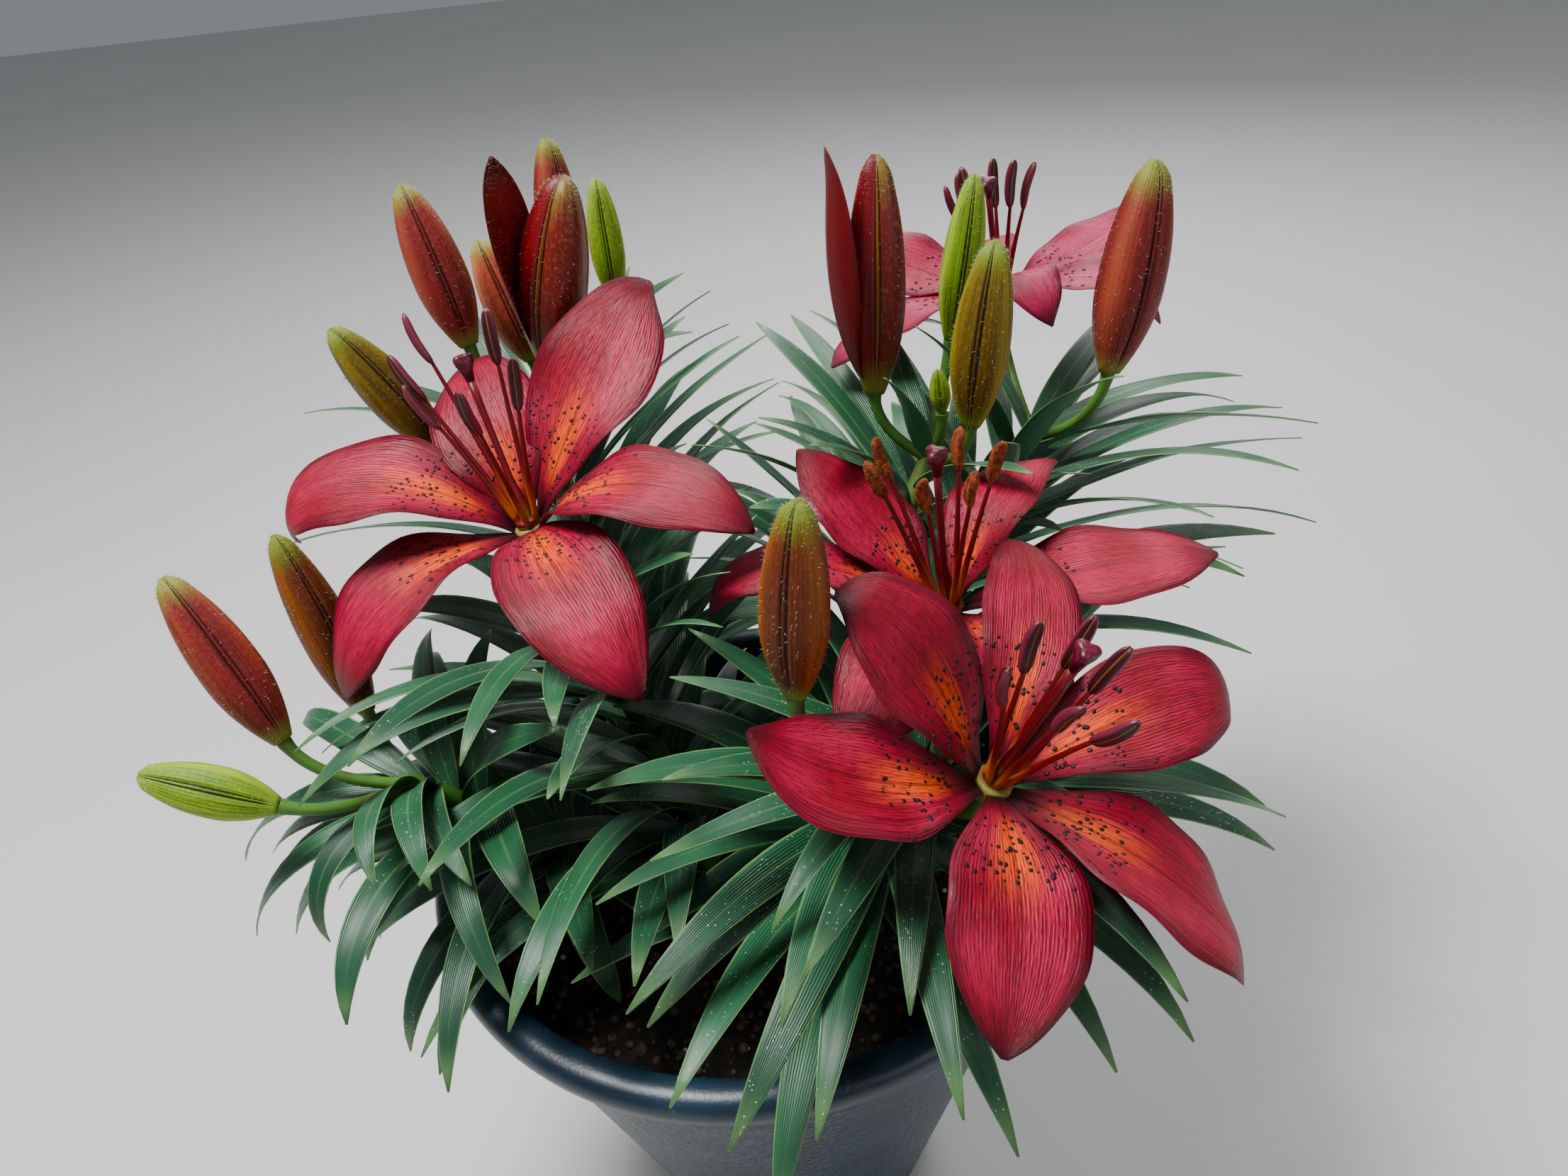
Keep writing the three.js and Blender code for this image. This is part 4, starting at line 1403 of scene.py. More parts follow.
class NodeModifier(Tree):
    """A geometry tree with named inputs, which is run once and leaves a plain mesh."""

    def __init__(self, name: str) -> None:
        """Starts the tree with its geometry input and output."""
        super().__init__(bpy.data.node_groups.new(name, "GeometryNodeTree"))
        for way in ("INPUT", "OUTPUT"):
            self.tree.interface.new_socket("Geometry", in_out=way, socket_type="NodeSocketGeometry")
        self.source = self.tree.nodes.new("NodeGroupInput")
        self.result = self.tree.nodes.new("NodeGroupOutput")

    @property
    def incoming(self) -> bpy.types.NodeSocket:
        """Returns the mesh that the tree works on."""
        return self.source.outputs["Geometry"]

    def input(self, name: str, kind: str, value: Optional[float] = None) -> bpy.types.NodeSocket:
        """Adds a named input.

        Args:
            name: The input's name.
            kind: Float, Int or Material.
            value: Its value where none is given later.

        Returns:
            The socket inside the tree.
        """
        item = self.tree.interface.new_socket(name, in_out="INPUT", socket_type="NodeSocket" + kind)
        if value is not None:
            item.default_value = value
        return self.source.outputs[name]

    def number(self, name: str) -> bpy.types.NodeSocket:
        """Returns a number that each point of the mesh carries."""
        return self.add("GeometryNodeInputNamedAttribute", {"Name": name}, data_type="FLOAT").outputs[0]

    def circle(self, sides: Number, radius: Number) -> bpy.types.NodeSocket:
        """Returns a flat circle."""
        return self.add("GeometryNodeCurvePrimitiveCircle", {"Resolution": sides,
                                                             "Radius": radius}).outputs[0]

    def sweep(self, inputs: dict) -> bpy.types.NodeSocket:
        """Returns the smooth surface of a profile led along a curve, by the node's own inputs."""
        body = self.add("GeometryNodeCurveToMesh", inputs).outputs[0]
        return self.add("GeometryNodeSetShadeSmooth", {"Geometry": body}).outputs[0]

    def points(self, density: Number, seed: Number) -> bpy.types.Node:
        """Strews points over the mesh, as densely as its own attribute says."""
        much = self.math("MULTIPLY", density, self.number("strewn"))
        return self.add("GeometryNodeDistributePointsOnFaces",
                        {"Mesh": self.incoming, "Density": much, "Seed": seed})

    def stand(self, points: bpy.types.Node, shape: bpy.types.Node, scale: Number) -> bpy.types.NodeSocket:
        """Stands a shape on each strewn point, square to the mesh."""
        return self.add("GeometryNodeInstanceOnPoints",
                        {"Points": points.outputs["Points"], "Instance": shape.outputs[0],
                         "Rotation": points.outputs["Rotation"], "Scale": scale}).outputs[0]

    def finish(self, geometry: bpy.types.NodeSocket, material: bpy.types.NodeSocket,
               keep: bool = False) -> None:
        """Ends the tree.

        Args:
            geometry: The new geometry, which is realised and given the material.
            material: The material's socket.
            keep: Whether the mesh that the tree works on stays with it.
        """
        real = self.add("GeometryNodeRealizeInstances", {0: geometry})
        last = self.add("GeometryNodeSetMaterial", {"Geometry": real.outputs[0],
                                                    "Material": material}).outputs[0]
        if keep:
            join = self.add("GeometryNodeJoinGeometry")
            for part in (last, self.incoming):
                self.tree.links.new(part, join.inputs[0])
            last = join.outputs[0]
        self.tree.links.new(last, self.result.inputs[0])

    def run(self, piece: bpy.types.Object, **values) -> None:
        """Runs the tree on a piece and keeps the result as its mesh.

        Args:
            piece: The object.
            **values: The inputs by name, with _ for a space.
        """
        modifier = piece.modifiers.new(self.tree.name, "NODES")
        modifier.node_group = self.tree
        named = {item.name: item.identifier for item in self.tree.interface.items_tree
                 if item.in_out == "INPUT"}
        for name, value in values.items():
            modifier[named[name.replace("_", " ")]] = value
        depsgraph = bpy.context.evaluated_depsgraph_get()
        mesh = bpy.data.meshes.new_from_object(piece.evaluated_get(depsgraph),
                                               preserve_all_data_layers=True, depsgraph=depsgraph)
        piece.modifiers.clear()
        piece.data = mesh


class TubeNodes(NodeModifier):
    """Round tubes along the lines of a wire mesh, as thick as its own attribute says."""

    def __init__(self) -> None:
        """Builds the tree."""
        super().__init__("tubes")
        sides = self.input("Sides", "Int", 10)
        material = self.input("Material", "Material")
        wire = self.add("GeometryNodeMeshToCurve", {0: self.incoming}).outputs[0]
        tube = self.sweep({"Curve": wire, "Profile Curve": self.circle(sides, 1.0),
                           "Scale": self.number("thick"), "Fill Caps": True})
        self.finish(tube, material)


class LatheNodes(NodeModifier):
    """Turns the line of a wire mesh round the Z axis. Its X is a radius and its Y a depth."""

    def __init__(self) -> None:
        """Builds the tree."""
        super().__init__("lathe")
        sides = self.input("Sides", "Int", 128)
        hub = self.input("Hub Radius", "Float", 0.1)
        material = self.input("Material", "Material")
        wire = self.add("GeometryNodeMeshToCurve", {0: self.incoming}).outputs[0]
        self.finish(self.sweep({"Curve": self.circle(sides, hub), "Profile Curve": wire}), material)


class ScatterNodes(NodeModifier):
    """Strews small round grains over a mesh, as densely as its own attribute says."""

    def __init__(self) -> None:
        """Builds the tree."""
        super().__init__("grains")
        density = self.input("Density", "Float", 10000.0)
        small = self.input("Smallest", "Float", 0.0005)
        large = self.input("Largest", "Float", 0.001)
        flat = self.input("Flatness", "Float", 0.5)
        seed = self.input("Seed", "Int", 1)
        material = self.input("Material", "Material")
        grain = self.add("GeometryNodeMeshUVSphere", {"Segments": 7, "Rings": 4, "Radius": 1.0})
        chance = self.add("FunctionNodeRandomValue", {"Seed": seed, 2: small, 3: large},
                          data_type="FLOAT")
        size = Signal(self, chance.outputs[1])
        scale = self.add("ShaderNodeCombineXYZ", {0: size, 1: size, 2: size * flat}).outputs[0]
        grains = self.stand(self.points(density, seed), grain, scale)
        smooth = self.add("GeometryNodeSetShadeSmooth", {"Geometry": grains})
        self.finish(smooth.outputs[0], material, keep=True)


class DownNodes(NodeModifier):
    """Short fine hairs that stand on a mesh, as densely as its own attribute says."""

    def __init__(self) -> None:
        """Builds the tree."""
        super().__init__("down")
        density = self.input("Density", "Float", 100000.0)
        length = self.input("Length", "Float", 0.001)
        seed = self.input("Seed", "Int", 1)
        material = self.input("Material", "Material")
        hair = self.add("GeometryNodeMeshCone", {"Vertices": 3, "Radius Top": 0.008,
                                                 "Radius Bottom": 0.05, "Depth": 1.0})
        lean = self.add("FunctionNodeRandomValue", {"Seed": seed, 0: (-0.5, -0.5, -3.1),
                                                    1: (0.5, 0.5, 3.1)}, data_type="FLOAT_VECTOR")
        hairs = self.stand(self.points(density, seed), hair, length)
        turned = self.add("GeometryNodeRotateInstances", {"Instances": hairs,
                                                          "Rotation": lean.outputs[0]})
        self.finish(turned.outputs[0], material, keep=True)


def wire_object(name: str, lines: Sequence[Array], thicks: Sequence[Array] = (),
                closed: bool = False) -> bpy.types.Object:
    """Makes a mesh of bare edges.

    Args:
        name: The object's name.
        lines: Points of each line, in millimetres.
        thicks: The radius at each point, in millimetres.
        closed: Whether each line ends where it starts.

    Returns:
        The object, linked to the scene.
    """
    edges: list[tuple[int, int]] = []
    first = 0
    for line in lines:
        edges.extend((first + i, first + i + 1) for i in range(len(line) - 1))
        if closed:
            edges.append((first + len(line) - 1, first))
        first += len(line)
    mesh = bpy.data.meshes.new(name)
    mesh.from_pydata((np.concatenate(lines) * MM).tolist(), edges, [])
    if thicks:
        write_numbers(mesh, "thick", np.concatenate(thicks) * MM)
    return link(name, mesh)


def strew_by(piece: bpy.types.Object, share: Callable[[Array, Array], Array]) -> None:
    """Writes how densely a mesh is strewn.

    Args:
        piece: The object.
        share: Gives 0 to 1 from the points' U and V.
    """
    mesh = piece.data
    uv = np.zeros(len(mesh.loops) * 2, np.float32)
    mesh.uv_layers["surface"].data.foreach_get("uv", uv)
    corner = np.zeros(len(mesh.loops), np.int32)
    mesh.loops.foreach_get("vertex_index", corner)
    place = np.zeros((len(mesh.vertices), 2))
    place[corner] = uv.reshape(-1, 2)
    under = np.zeros(len(mesh.vertices), np.float32)
    mesh.attributes["under"].data.foreach_get("value", under)
    write_numbers(mesh, "strewn", share(place[:, 0], place[:, 1]) * (1 - under))


def face_outwards(piece: bpy.types.Object) -> None:
    """Merges doubled points and turns all faces outwards."""
    work = bmesh.new()
    work.from_mesh(piece.data)
    bmesh.ops.remove_doubles(work, verts=work.verts, dist=1e-6)
    bmesh.ops.recalc_face_normals(work, faces=work.faces)
    work.to_mesh(piece.data)
    work.free()


def settle(piece: bpy.types.Object, slot: str, *nodes: str) -> None:
    """Ties a finished piece to the body and hides the nodes that it stands for.

    Args:
        piece: The object.
        slot: The name of its material slot, which is not used.
        *nodes: The nodes that it replaces.
    """
    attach(piece, "root")
    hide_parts(*nodes)
    LOG.info("%s: %d faces", piece.name, len(piece.data.polygons))


# Sub-assemblies


@dataclass
class Pot:
    """The pot and its soil, with sizes in millimetres."""

    sides: int = 144
    hub: float = 60.0
    soil_sides: int = 120
    soil_rings: int = 60
    swells: int = 90
    longest: float = 34.0
    strewn_above: float = 184.0
    seed: int = 5

    def profile(self) -> list[tuple[float, float]]:
        """Returns the pot's closed outline as radius and height."""
        neck = NECK_HEIGHT
        floor = 4.2
        foot = [(0.01, 0.0), (FOOT_RADIUS - 5, 0.0), (FOOT_RADIUS - 3, 0.0), (FOOT_RADIUS - 0.8, 0.8),
                (FOOT_RADIUS, FOOT_HEIGHT)]
        heights = [FOOT_HEIGHT + share * (neck - FOOT_HEIGHT) for share in np.linspace(0.05, 0.9, 16)]
        wall = [(pot_radius(height), height) for height in heights]
        band = [(pot_radius(neck - drop) + out, neck - drop)
                for out, drop in ((0, 14.5), (0.7, 14), (0.9, 13), (0.6, 1.2))]
        lip = [(NECK_RADIUS + 0.2, neck - 0.2), (NECK_RADIUS + 1.2, neck + 0.4)]
        under_rim = [(RIM_RADIUS - inwards, neck + rise)
                     for inwards, rise in ((3.2, 2.6), (1.6, 4.0), (0.7, 6.4))]
        rim = [(RIM_RADIUS - inwards, RIM_TOP - drop) for inwards, drop in (
            (0, 6.4), (0.3, 4.2), (1.3, 2.2), (3.2, 0.8), (6, 0.1), (9, 0.2), (11.2, 1.1), (12.6, 2.9),
            (12.9, 5.2))]
        throat = [(NECK_RADIUS - WALL - 0.2, neck + 1.0), (NECK_RADIUS - WALL - 0.5, neck - 0.5)]
        inside = [(pot_radius(neck - 8) - WALL, neck - 8), (pot_radius(100) - WALL, 100.0),
                  (pot_radius(floor) - WALL, floor + 0.5), (pot_radius(floor) - WALL - 1.5, floor),
                  (0.01, floor)]
        return foot + wall + band + lip + under_rim + rim + throat + inside

    def build(self) -> None:
        """Makes the pot and the soil."""
        line = np.array([(radius - self.hub, -height, 0.0) for radius, height in self.profile()])
        pot = wire_object("pot_fine", [line], closed=True)
        LatheNodes().run(pot, Sides=self.sides, Hub_Radius=self.hub * MM,
                         Material=PotFinish().material())
        face_outwards(pot)
        settle(pot, "pot", "pot")
        self.build_soil()

    def soil_top(self, radii: Array, angle: Array) -> Array:
        """Lays the peat's uneven top.

        Args:
            radii: The radius of each ring, from the middle outwards.
            angle: The angle of each side.

        Returns:
            The rings of points.
        """
        rng = np.random.default_rng(self.seed)
        inner = self.inner(SOIL_EDGE)
        level = np.interp(radii, [0, 40, 80, inner - 3, inner],
                          [SOIL_CROWN, SOIL_CROWN - 1, SOIL_EDGE + 2.2, SOIL_EDGE + 1, SOIL_EDGE])
        x = radii[:, None] * np.cos(angle)[None]
        y = radii[:, None] * np.sin(angle)[None]
        bumps = np.zeros_like(x)
        for _ in range(self.swells):
            way = rng.uniform(0, 2 * math.pi)
            size = rng.uniform(6, self.longest)
            across = (x * math.cos(way) + y * math.sin(way)) * 2 * math.pi / size
            bumps += np.sin(across + rng.uniform(0, PHASES)) * size / self.longest * 0.16
        calm = np.clip((inner - radii) / 6, 0, 1)[:, None]
        return np.stack([x, y, level[:, None] + bumps * calm], 2)

    def inner(self, height: float) -> float:
        """Returns the soil's radius inside the pot at a height."""
        return pot_radius(height) - WALL - 0.5

    def build_soil(self) -> None:
        """Makes the peat with its crumbs and its grit."""
        angle = np.arange(self.soil_sides) / self.soil_sides * 2 * math.pi
        radii = np.concatenate([[0.4], np.linspace(2, self.inner(SOIL_EDGE) - 0.4, self.soil_rings)])
        top = self.soil_top(radii, angle)
        walls = [ring_about(vec(0, 0, height), Z_AXIS, self.soil_sides, self.inner(height))
                 for height in (4.6, 60.0, 120.0, 170.0)]
        draft = Draft()
        draft.add_rings(np.concatenate([np.array(walls), top[::-1]]))
        soil = draft.build("soil_fine", [SoilFinish().material()])
        height = np.array([vertex.co.z for vertex in soil.data.vertices])
        write_numbers(soil.data, "strewn", height > self.strewn_above * MM)
        crumbs = PlainFinish("crumbs", srgb(26, 20, 15), srgb(84, 64, 46), 0.85, 300.0, 0.8)
        ScatterNodes().run(soil, Density=42000.0, Smallest=0.0006, Largest=0.0022, Flatness=0.7, Seed=3,
                           Material=crumbs.material())
        grit = PlainFinish("grit", srgb(150, 140, 120), srgb(196, 190, 176), 0.8, 300.0, 0.3)
        ScatterNodes().run(soil, Density=700.0, Smallest=0.0006, Largest=0.0013, Flatness=0.8, Seed=8,
                           Material=grit.material())
        settle(soil, "soil", "soil")


@dataclass
class Foliage:
    """The leafy stems."""

    relief: Relief = Relief(thickness=0.9, edge=0.45, groove=0.45, groove_width=0.35, ruffle=0.35,
                            waves=1.6, rows=18, columns=6)
    tube_steps: int = 24

    def build(self) -> None:
        """Makes each stem with its stalks, and its leaves."""
        leaf = LeafFinish().material()
        green = StemFinish().material()
        tubes = TubeNodes()
        for index, leaves in enumerate(grow_leaves()):
            node = f"leafy_stem_{index + 1}"
            draw = Seeded(LEAF_SEED + index)
            draft = Draft()
            for grown in leaves:
                self.relief.add(draft, grown.blade, grown.origin, grown.axis, 0, draw)
            blades = draft.build(f"leaves_{index + 1}", [leaf])
            settle(blades, "leaf", node)
            lines, thicks = self.lines(index)
            stalks = wire_object(f"stalks_{index + 1}", lines, thicks)
            tubes.run(stalks, Sides=12, Material=green)
            face_outwards(stalks)
            settle(stalks, "leaf", node)
            LOG.info("stem %d: %d leaves", index + 1, len(leaves))

    def lines(self, index: int) -> tuple[list[Array], list[Array]]:
        """Lays the middle lines of a stem and its stalks.

        Args:
            index: The stem's place in the list.

        Returns:
            The lines and the radius at each of their points.
        """
        stem = STEMS[index]
        curve = stem.curve()
        t = np.linspace(0, 1, self.tube_steps + 1)
        line = [vec(*stem.foot, SOIL_CROWN - BURIED)] + [curve.point(s) for s in t]
        radius = STEM_FOOT_RADIUS + (STEM_TOP_RADIUS - STEM_FOOT_RADIUS) * t
        lines, thicks = [np.array(line)], [np.concatenate([[STEM_FOOT_RADIUS], radius])]
        for stalk in pedicel_curves(index):
            lines.append(np.array([stalk.point(s) for s in t]))
            flare = 0.9 * np.exp(-((1 - t) / 0.08) ** 2) + np.exp(-(t / 0.06) ** 2)
            thicks.append(PEDICEL_RADIUS * (1.05 - 0.1 * np.sin(math.pi * t)) + flare * 0.5)
        return lines, thicks


# For each ring of a pistil: its place along the curve, its radius, and how far its lobes stand out.
PISTIL_PROFILE = (
    (0.0, 1.8, 0.1), (0.04, 2.1, 0.1), (0.12, 2.2, 0.1), (0.2, 2.05, 0.1), (0.25, 1.5, 0.05),
    (0.3, 1.25, 0.0), (0.45, 1.2, 0.0), (0.6, 1.2, 0.0), (0.75, 1.25, 0.0), (0.86, 1.4, 0.05),
    (0.92, 2.1, 0.12), (0.955, 3.0, 0.22), (0.985, 3.1, 0.28), (1.0, 2.4, 0.3), (1.0, 0.8, 0.3),
)
STIGMA_FROM = 9


@dataclass
class Bloom:
    """An open bloom: its tepals, its stamens and its pistil."""

    plan: BloomPlan
    finish: TepalFinish
    open_anthers: bool = False
    relief: Relief = Relief()
    spots_per_metre: float = 90000.0
    filament_root: float = 3.65
    anther_sizes: tuple[float, float] = (2.3, 1.9)

    def leaning(self, azimuth: float, lean: float) -> Array:
        """Returns a direction by its azimuth and its lean from the flower's axis."""
        along, first, second = frame_of(vec(*self.plan.axis))
        azimuth, lean = azimuth * DEG, lean * DEG
        return (along * math.cos(lean) + first * math.sin(lean) * math.cos(azimuth)
                + second * math.sin(lean) * math.sin(azimuth))

    def filament(self, origin: Array, azimuth: float, lean: float, length: float,
                 root: float) -> Bend:
        """Lays the middle line of a filament or the style.

        Args:
            origin: The flower's middle.
            azimuth: The way that it leans.
            lean: How far it leans.
            length: How far its end is from the middle.
            root: The distance of its foot from the axis.

        Returns:
            The line.
        """
        base = origin + self.leaning(azimuth, 90) * root
        end = origin + self.leaning(azimuth, lean) * length
        return Bend(base, base + (end - base) * 0.4 + self.plan.along * 3, end)

    def build(self, finishes: "FlowerFinishes") -> None:
        """Makes the whole bloom."""
        self.build_tepals(finishes)
        self.build_stamens(finishes)
        self.build_pistil(finishes)

    def build_tepals(self, finishes: "FlowerFinishes") -> None:
        """Makes the six tepals on the flower's base, with their dark spots."""
        letter = self.plan.letter
        origin, axis = self.plan.middle, self.plan.along
        draft = Draft()
        draw = Seeded(TEPAL_SEED + ord(letter))
        for blade in self.plan.tepals:
            self.relief.add(draft, blade, origin, axis, 0, draw)
        levels = ((-BOSS_DEPTH, PEDICEL_RADIUS + 0.7), (-7, 3.4), (-4, BOSS_RADIUS * 0.8),
                  (-1.5, BOSS_RADIUS - 0.1), (-0.3, BOSS_RADIUS - 0.3), (0, BOSS_RADIUS - 1.2))
        rings = [ring_about(origin + axis * height, axis, FLOWER_SIDES, radius, 6, 0.05)
                 for height, radius in levels]
        draft.add_rings(np.array(rings), slot=1)
        piece = draft.build(f"bloom_{letter}_tepals", [self.finish.material(), finishes.base])
        strew_by(piece, lambda u, v: np.clip((0.5 - v) / 0.12, 0, 1) * np.clip((v - 0.1) / 0.05, 0, 1)
                 * np.clip((0.97 - np.abs(2 * u - 1)) / 0.2, 0, 1))
        ScatterNodes().run(piece, Density=self.spots_per_metre, Smallest=0.00042, Largest=0.00085,
                           Flatness=0.4, Seed=SPOT_SEED + ord(letter), Material=finishes.spot)
        settle(piece, f"tepal_{letter}", f"tepals_{letter}")

    def build_stamens(self, finishes: "FlowerFinishes") -> None:
        """Makes the six filaments with their anthers."""
        letter = self.plan.letter
        axis = self.plan.along
        origin = self.plan.middle + axis * GAP
        draft = Draft()
        draw = Seeded(STAMEN_SEED + ord(letter))
        collar = [ring_about(origin + axis * height, axis, FLOWER_SIDES, radius)
                  for height, radius in ((0, 4.2), (1.6, 4.3), (2.4, 3.9))]
        draft.add_rings(np.array(collar), slot=0)
        for azimuth, lean, length in self.plan.stamens:
            curve = self.filament(origin + axis * 1.2, azimuth, lean, length - self.plan.anther / 2,
                                  self.filament_root)
            rings = [ring_about(curve.point(t), curve.tangent(t), 8, 1.25 - 0.6 * t)
                     for t in np.linspace(0, 1, 15)]
            draft.add_rings(np.array(rings), slot=0, tint=draw())
            self.add_anther(draft, curve, draw())
        anther = finishes.pollen if self.open_anthers else finishes.anther
        piece = draft.build(f"bloom_{letter}_stamens", [finishes.filament, anther])
        if self.open_anthers:
            strew_by(piece, lambda u, v: (v > 1.5).astype(float))
            ScatterNodes().run(piece, Density=900000.0, Smallest=0.00012, Largest=0.00022, Flatness=1.0,
                               Seed=4, Material=finishes.grains)
        slot = "stamen_pollen" if self.open_anthers else "stamen_dark"
        settle(piece, slot, f"stamens_{letter}")

    def add_anther(self, draft: Draft, curve: Bend, tint: float) -> None:
        """Adds a two-lobed anther at a filament's end.

        Args:
            draft: The mesh that it joins.
            curve: The filament.
            tint: Its random number.
        """
        end, direction = curve.point(1), curve.tangent(1)
        along, first, second = frame_of(direction)
        turn = tint * math.pi
        broad = first * math.cos(turn) + second * math.sin(turn)
        thin = np.cross(along, broad)
        length = self.plan.anther
        wide, deep = self.anther_sizes
        angle = np.arange(FLOWER_SIDES) / FLOWER_SIDES * 2 * math.pi
        lobe = 1 - 0.42 * np.exp(-((np.abs(np.sin(angle)) - 1) / 0.12) ** 2)
        rings = []
        for t in np.linspace(0.015, 0.985, 17):
            swell = (1 - abs(2 * t - 1) ** 3.2) ** 0.5
            centre = end + along * length * (t - 0.15) + thin * (1.1 * math.sin(math.pi * t))
            rings.append(centre + np.outer(np.cos(angle) * lobe, broad) * wide * swell
                         + np.outer(np.sin(angle) * lobe, thin) * deep * swell)
        draft.add_rings(np.array(rings), slot=1, tint=tint, span=(2.0, 3.0))

    def build_pistil(self, finishes: "FlowerFinishes") -> None:
        """Makes the ribbed ovary, the style and the lobed stigma."""
        letter = self.plan.letter
        axis = self.plan.along
        azimuth, lean, length = self.plan.pistil
        curve = self.filament(self.plan.middle + axis * GAP, azimuth, lean, length, 0)
        rings = []
        for t, radius, lobes in PISTIL_PROFILE:
            direction = axis if t == 0 else curve.tangent(t)
            rings.append(ring_about(curve.point(t), direction, FLOWER_SIDES, radius, 3, lobes))
        draft = Draft()
        draft.add_rings(np.array(rings[:STIGMA_FROM + 1]), slot=0)
        draft.add_rings(np.array(rings[STIGMA_FROM:]), slot=1)
        piece = draft.build(f"bloom_{letter}_pistil", [finishes.style, finishes.stigma])
        settle(piece, "pistil", f"pistil_{letter}")


@dataclass(frozen=True)
class FlowerFinishes:
    """The materials that all blooms share."""

    base: bpy.types.Material
    spot: bpy.types.Material
    filament: bpy.types.Material
    anther: bpy.types.Material
    pollen: bpy.types.Material
    grains: bpy.types.Material
    style: bpy.types.Material
    stigma: bpy.types.Material

    @classmethod
    def mix(cls) -> "FlowerFinishes":
        """Returns the set of materials."""
        finishes = {
            "base": PlainFinish("flower_base", srgb(126, 128, 48), srgb(150, 70, 40), 0.5, 200.0, 0.2),
            "spot": PlainFinish("spot_maroon", srgb(14, 0, 6), srgb(34, 0, 12), 0.5, 400.0, 0.05),
            "filament": FilamentFinish("filament_red", srgb(206, 96, 14), srgb(104, 2, 10), 0.4),
            "anther": AntherFinish(),
            "pollen": PlainFinish("anther_pollen", srgb(92, 34, 8), srgb(150, 70, 18), 0.85, 500.0, 0.4),
            "grains": PlainFinish("pollen_grains", srgb(120, 48, 10), srgb(190, 100, 26), 0.9, 500.0,
                                  0.1),
            "style": FilamentFinish("style_red", srgb(136, 140, 30), srgb(110, 4, 20), 0.3),
            "stigma": PlainFinish("stigma_purple", srgb(60, 0, 20), srgb(108, 22, 48), 0.35, 260.0, 0.3),
        }
        return cls(**{role: finish.material() for role, finish in finishes.items()})


@dataclass
class Buds:
    """Closed buds and opening buds."""

    sides: int = 72
    rows: int = 44
    crowding: float = 0.8
    slimming: float = 0.92
    down_per_metre: float = 1500000.0

    def rings(self, plan: BudPlan, flare: float) -> tuple[Array, Array]:
        """Lays a bud's surface, with its points crowded about the three narrow keels.

        Args:
            plan: The bud.
            flare: How far its three outer tepals bulge.

        Returns:
            The rings of points, from base to tip, and U at each point of a ring.
        """
        _, first, second = frame_of(plan.axis)
        even = np.arange(self.sides) / self.sides * 2 * math.pi
        angle = even + self.crowding / 3 * np.sin(3 * even)
        from_keel = np.mod(angle / DEG, 120) - 60
        keel = 0.02 * np.exp(-(from_keel / 2.6) ** 2)
        seam = 0.075 * np.exp(-((np.abs(from_keel) - KEEL_SEAM) / 2.4) ** 2)
        rib = 0.02 * np.exp(-((60 - np.abs(from_keel)) / 7) ** 2)
        rings = []
        for t in np.linspace(0, 1, self.rows):
            blunt = 1 - 0.6 * max(0.0, (t - 0.92) / 0.08) ** 2.4
            radius = plan.width / 2 * self.slimming * float(bud_profile(np.array(t))) * blunt
            calm = math.sin(math.pi / 2 * min(t / 0.1, 1))
            part = flare + 0.12 * max(0.0, (t - 0.88) / 0.12) ** 2
            reach = radius * (1 + part * np.cos(3 * angle) + calm * (keel + rib - seam))
            turned = angle + plan.turn * DEG
            rings.append(plan.start + plan.axis * t + np.outer(np.cos(turned) * reach, first)
                         + np.outer(np.sin(turned) * reach, second))
        return np.array(rings), np.append(angle, 2 * math.pi) / (2 * math.pi)

    def build(self) -> None:
        """Makes every bud with the down on its tip."""
        down = PlainFinish("bud_down", srgb(170, 166, 140), srgb(206, 204, 182), 0.7, 300.0,
                           0.05).material()
        dress = {tint: BudFinish("bud_" + tint.value, *colours).material()
                 for tint, colours in BUD_COLOURS.items()}
        nodes = DownNodes()
        for number, plan in enumerate(BUDS, 1):
            draft = Draft()
            rings, around = self.rings(plan, 0.07)
            draft.add_rings(rings, tint=Seeded(number)(), around=around)
            piece = draft.build(f"bud_{number}_fine", [dress[plan.tint]])
            self.grow_down(piece, nodes, number, down)
            settle(piece, "bud_" + plan.tint.value, f"bud_{number}")
        self.build_opening(nodes, down)

    def grow_down(self, piece: bpy.types.Object, nodes: DownNodes, seed: int,
                  down: bpy.types.Material) -> None:
        """Stands short hairs on a bud, more of them at its tip."""
        strew_by(piece, lambda u, v: 0.06 + 0.94 * np.clip((v - 0.84) / 0.15, 0, 1))
        nodes.run(piece, Density=self.down_per_metre, Length=0.0011, Seed=seed, Material=down)

    def build_opening(self, nodes: DownNodes, down: bpy.types.Material) -> None:
        """Makes the opening buds, each with the tepal that has come away."""
        crimson = TepalFinish("opening_tepal", rose=srgb(124, 0, 12), pink=srgb(150, 4, 18),
                              deep=srgb(60, 0, 6), flame=srgb(160, 20, 8), throat=srgb(104, 40, 16),
                              under=srgb(110, 4, 16)).material()
        core = OpeningFinish().material()
        relief = Relief(thickness=0.9, edge=0.45, groove=0.4, ruffle=0.3, waves=1.5, rows=36, columns=12)
        for number, (plan, blade) in enumerate(zip(OPENING_BUDS, LOOSE_TEPALS), 1):
            draft = Draft()
            rings, around = self.rings(plan, 0.1)
            draft.add_rings(rings, slot=0, tint=0.2 * number, around=around)
            relief.add(draft, blade, plan.start, plan.axis, 1, Seeded(LOOSE_SEED + number))
            piece = draft.build(f"opening_bud_{number}_fine", [core, crimson])
            self.grow_down(piece, nodes, DOWN_SEED + number, down)
            settle(piece, "opening_bud", f"opening_bud_{number}")


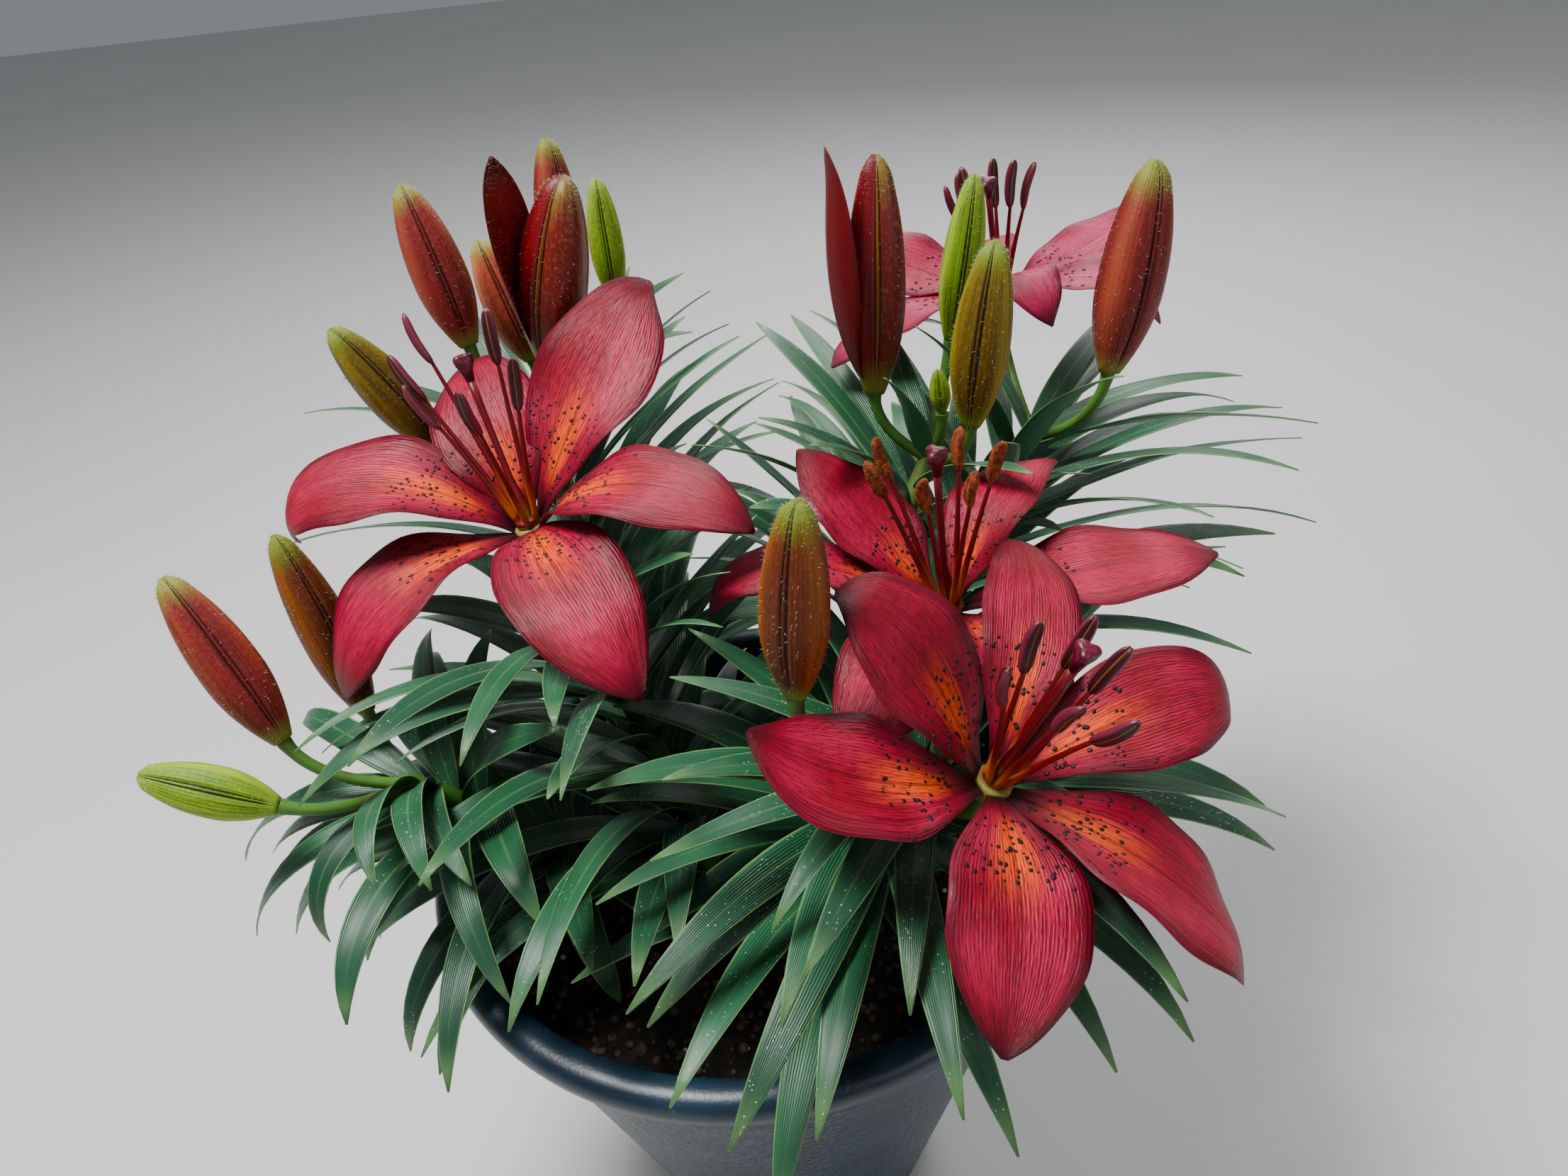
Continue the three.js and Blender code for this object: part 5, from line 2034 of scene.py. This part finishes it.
@dataclass
class Studio:
    """The floor, the lights and the camera."""

    camera_place: tuple[float, float, float] = (22, -331, 540)
    pitch: float = 34.7
    roll: float = -6.4
    focal: float = 1660.0
    frame_width: float = 2212.0
    sensor: float = 36.0
    lit_point: tuple[float, float, float] = (0.0, 0.0, 0.28)

    def build(self) -> None:
        """Sets the stage."""
        self.place_camera()
        self.lay_floor()
        self.light()

    def place_camera(self) -> None:
        """Stands the camera where the photograph was taken."""
        p, r = self.pitch * DEG, self.roll * DEG
        ahead = Vector((0, math.cos(p), -math.sin(p)))
        up = Vector((0, math.sin(p), math.cos(p)))
        right = Vector((1, 0, 0))
        across = right * math.cos(r) + up * math.sin(r)
        above = up * math.cos(r) - right * math.sin(r)
        data = bpy.data.cameras.new("camera")
        data.sensor_width = self.sensor
        data.lens = self.sensor * self.focal / self.frame_width
        data.clip_start = 0.01
        camera = link("camera", data)
        turn = Matrix((across, above, -ahead)).transposed().to_4x4()
        turn.translation = Vector(self.camera_place) * MM
        camera.matrix_world = turn
        bpy.context.scene.camera = camera

    def lay_floor(self) -> None:
        """Lays the plain pale floor."""
        mesh = bpy.data.meshes.new("floor")
        mesh.from_pydata([(-4, -4, 0), (4, -4, 0), (4, 4, 0), (-4, 4, 0)], [], [(0, 1, 2, 3)])
        shader = Shader("floor", 0.8)
        shader.colour(srgb(206, 206, 204), (shader.noise(3), srgb(212, 212, 210)))
        mesh.materials.append(shader.material)
        floor = link("floor", mesh)

    def light(self) -> None:
        """Hangs the soft lights."""
        for name, place, size, power in (
            ("key", (-0.45, 0.0, 1.55), 0.55, 34.0),
            ("fill", (1.1, -1.0, 1.0), 1.2, 5.0),
            ("back", (0.5, 1.2, 1.2), 0.9, 15.0),
        ):
            data = bpy.data.lights.new(name, "AREA")
            data.shape = "DISK"
            data.size = size
            data.energy = power
            lamp = link(name, data)
            lamp.location = place
            aim = Vector(self.lit_point) - Vector(place)
            lamp.rotation_euler = aim.to_track_quat("-Z", "Y").to_euler()
        world = bpy.data.worlds.new("studio")
        world.use_nodes = True
        colour, strength = world.node_tree.nodes["Background"].inputs[:2]
        colour.default_value = (0.9, 0.95, 1.0, 1)
        strength.default_value = 0.24
        bpy.context.scene.world = world


def main() -> None:
    """Builds every piece in order."""
    logging.basicConfig(level=logging.INFO, format="%(message)s")
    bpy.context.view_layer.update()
    Studio().build()
    Pot().build()
    Foliage().build()
    shared = FlowerFinishes.mix()
    finishes = {
        "a": TepalFinish("tepal_a"),
        "b": TepalFinish("tepal_b"),
        "c": TepalFinish("tepal_c", flame_end=0.5),
        "d": TepalFinish("tepal_d", rose=srgb(168, 6, 56), pink=srgb(198, 34, 92), flame_end=0.4),
    }
    for plan in BLOOMS:
        Bloom(plan, finishes[plan.letter], open_anthers=plan.letter == "c").build(shared)
    Buds().build()


if __name__ == "__main__":
    main()
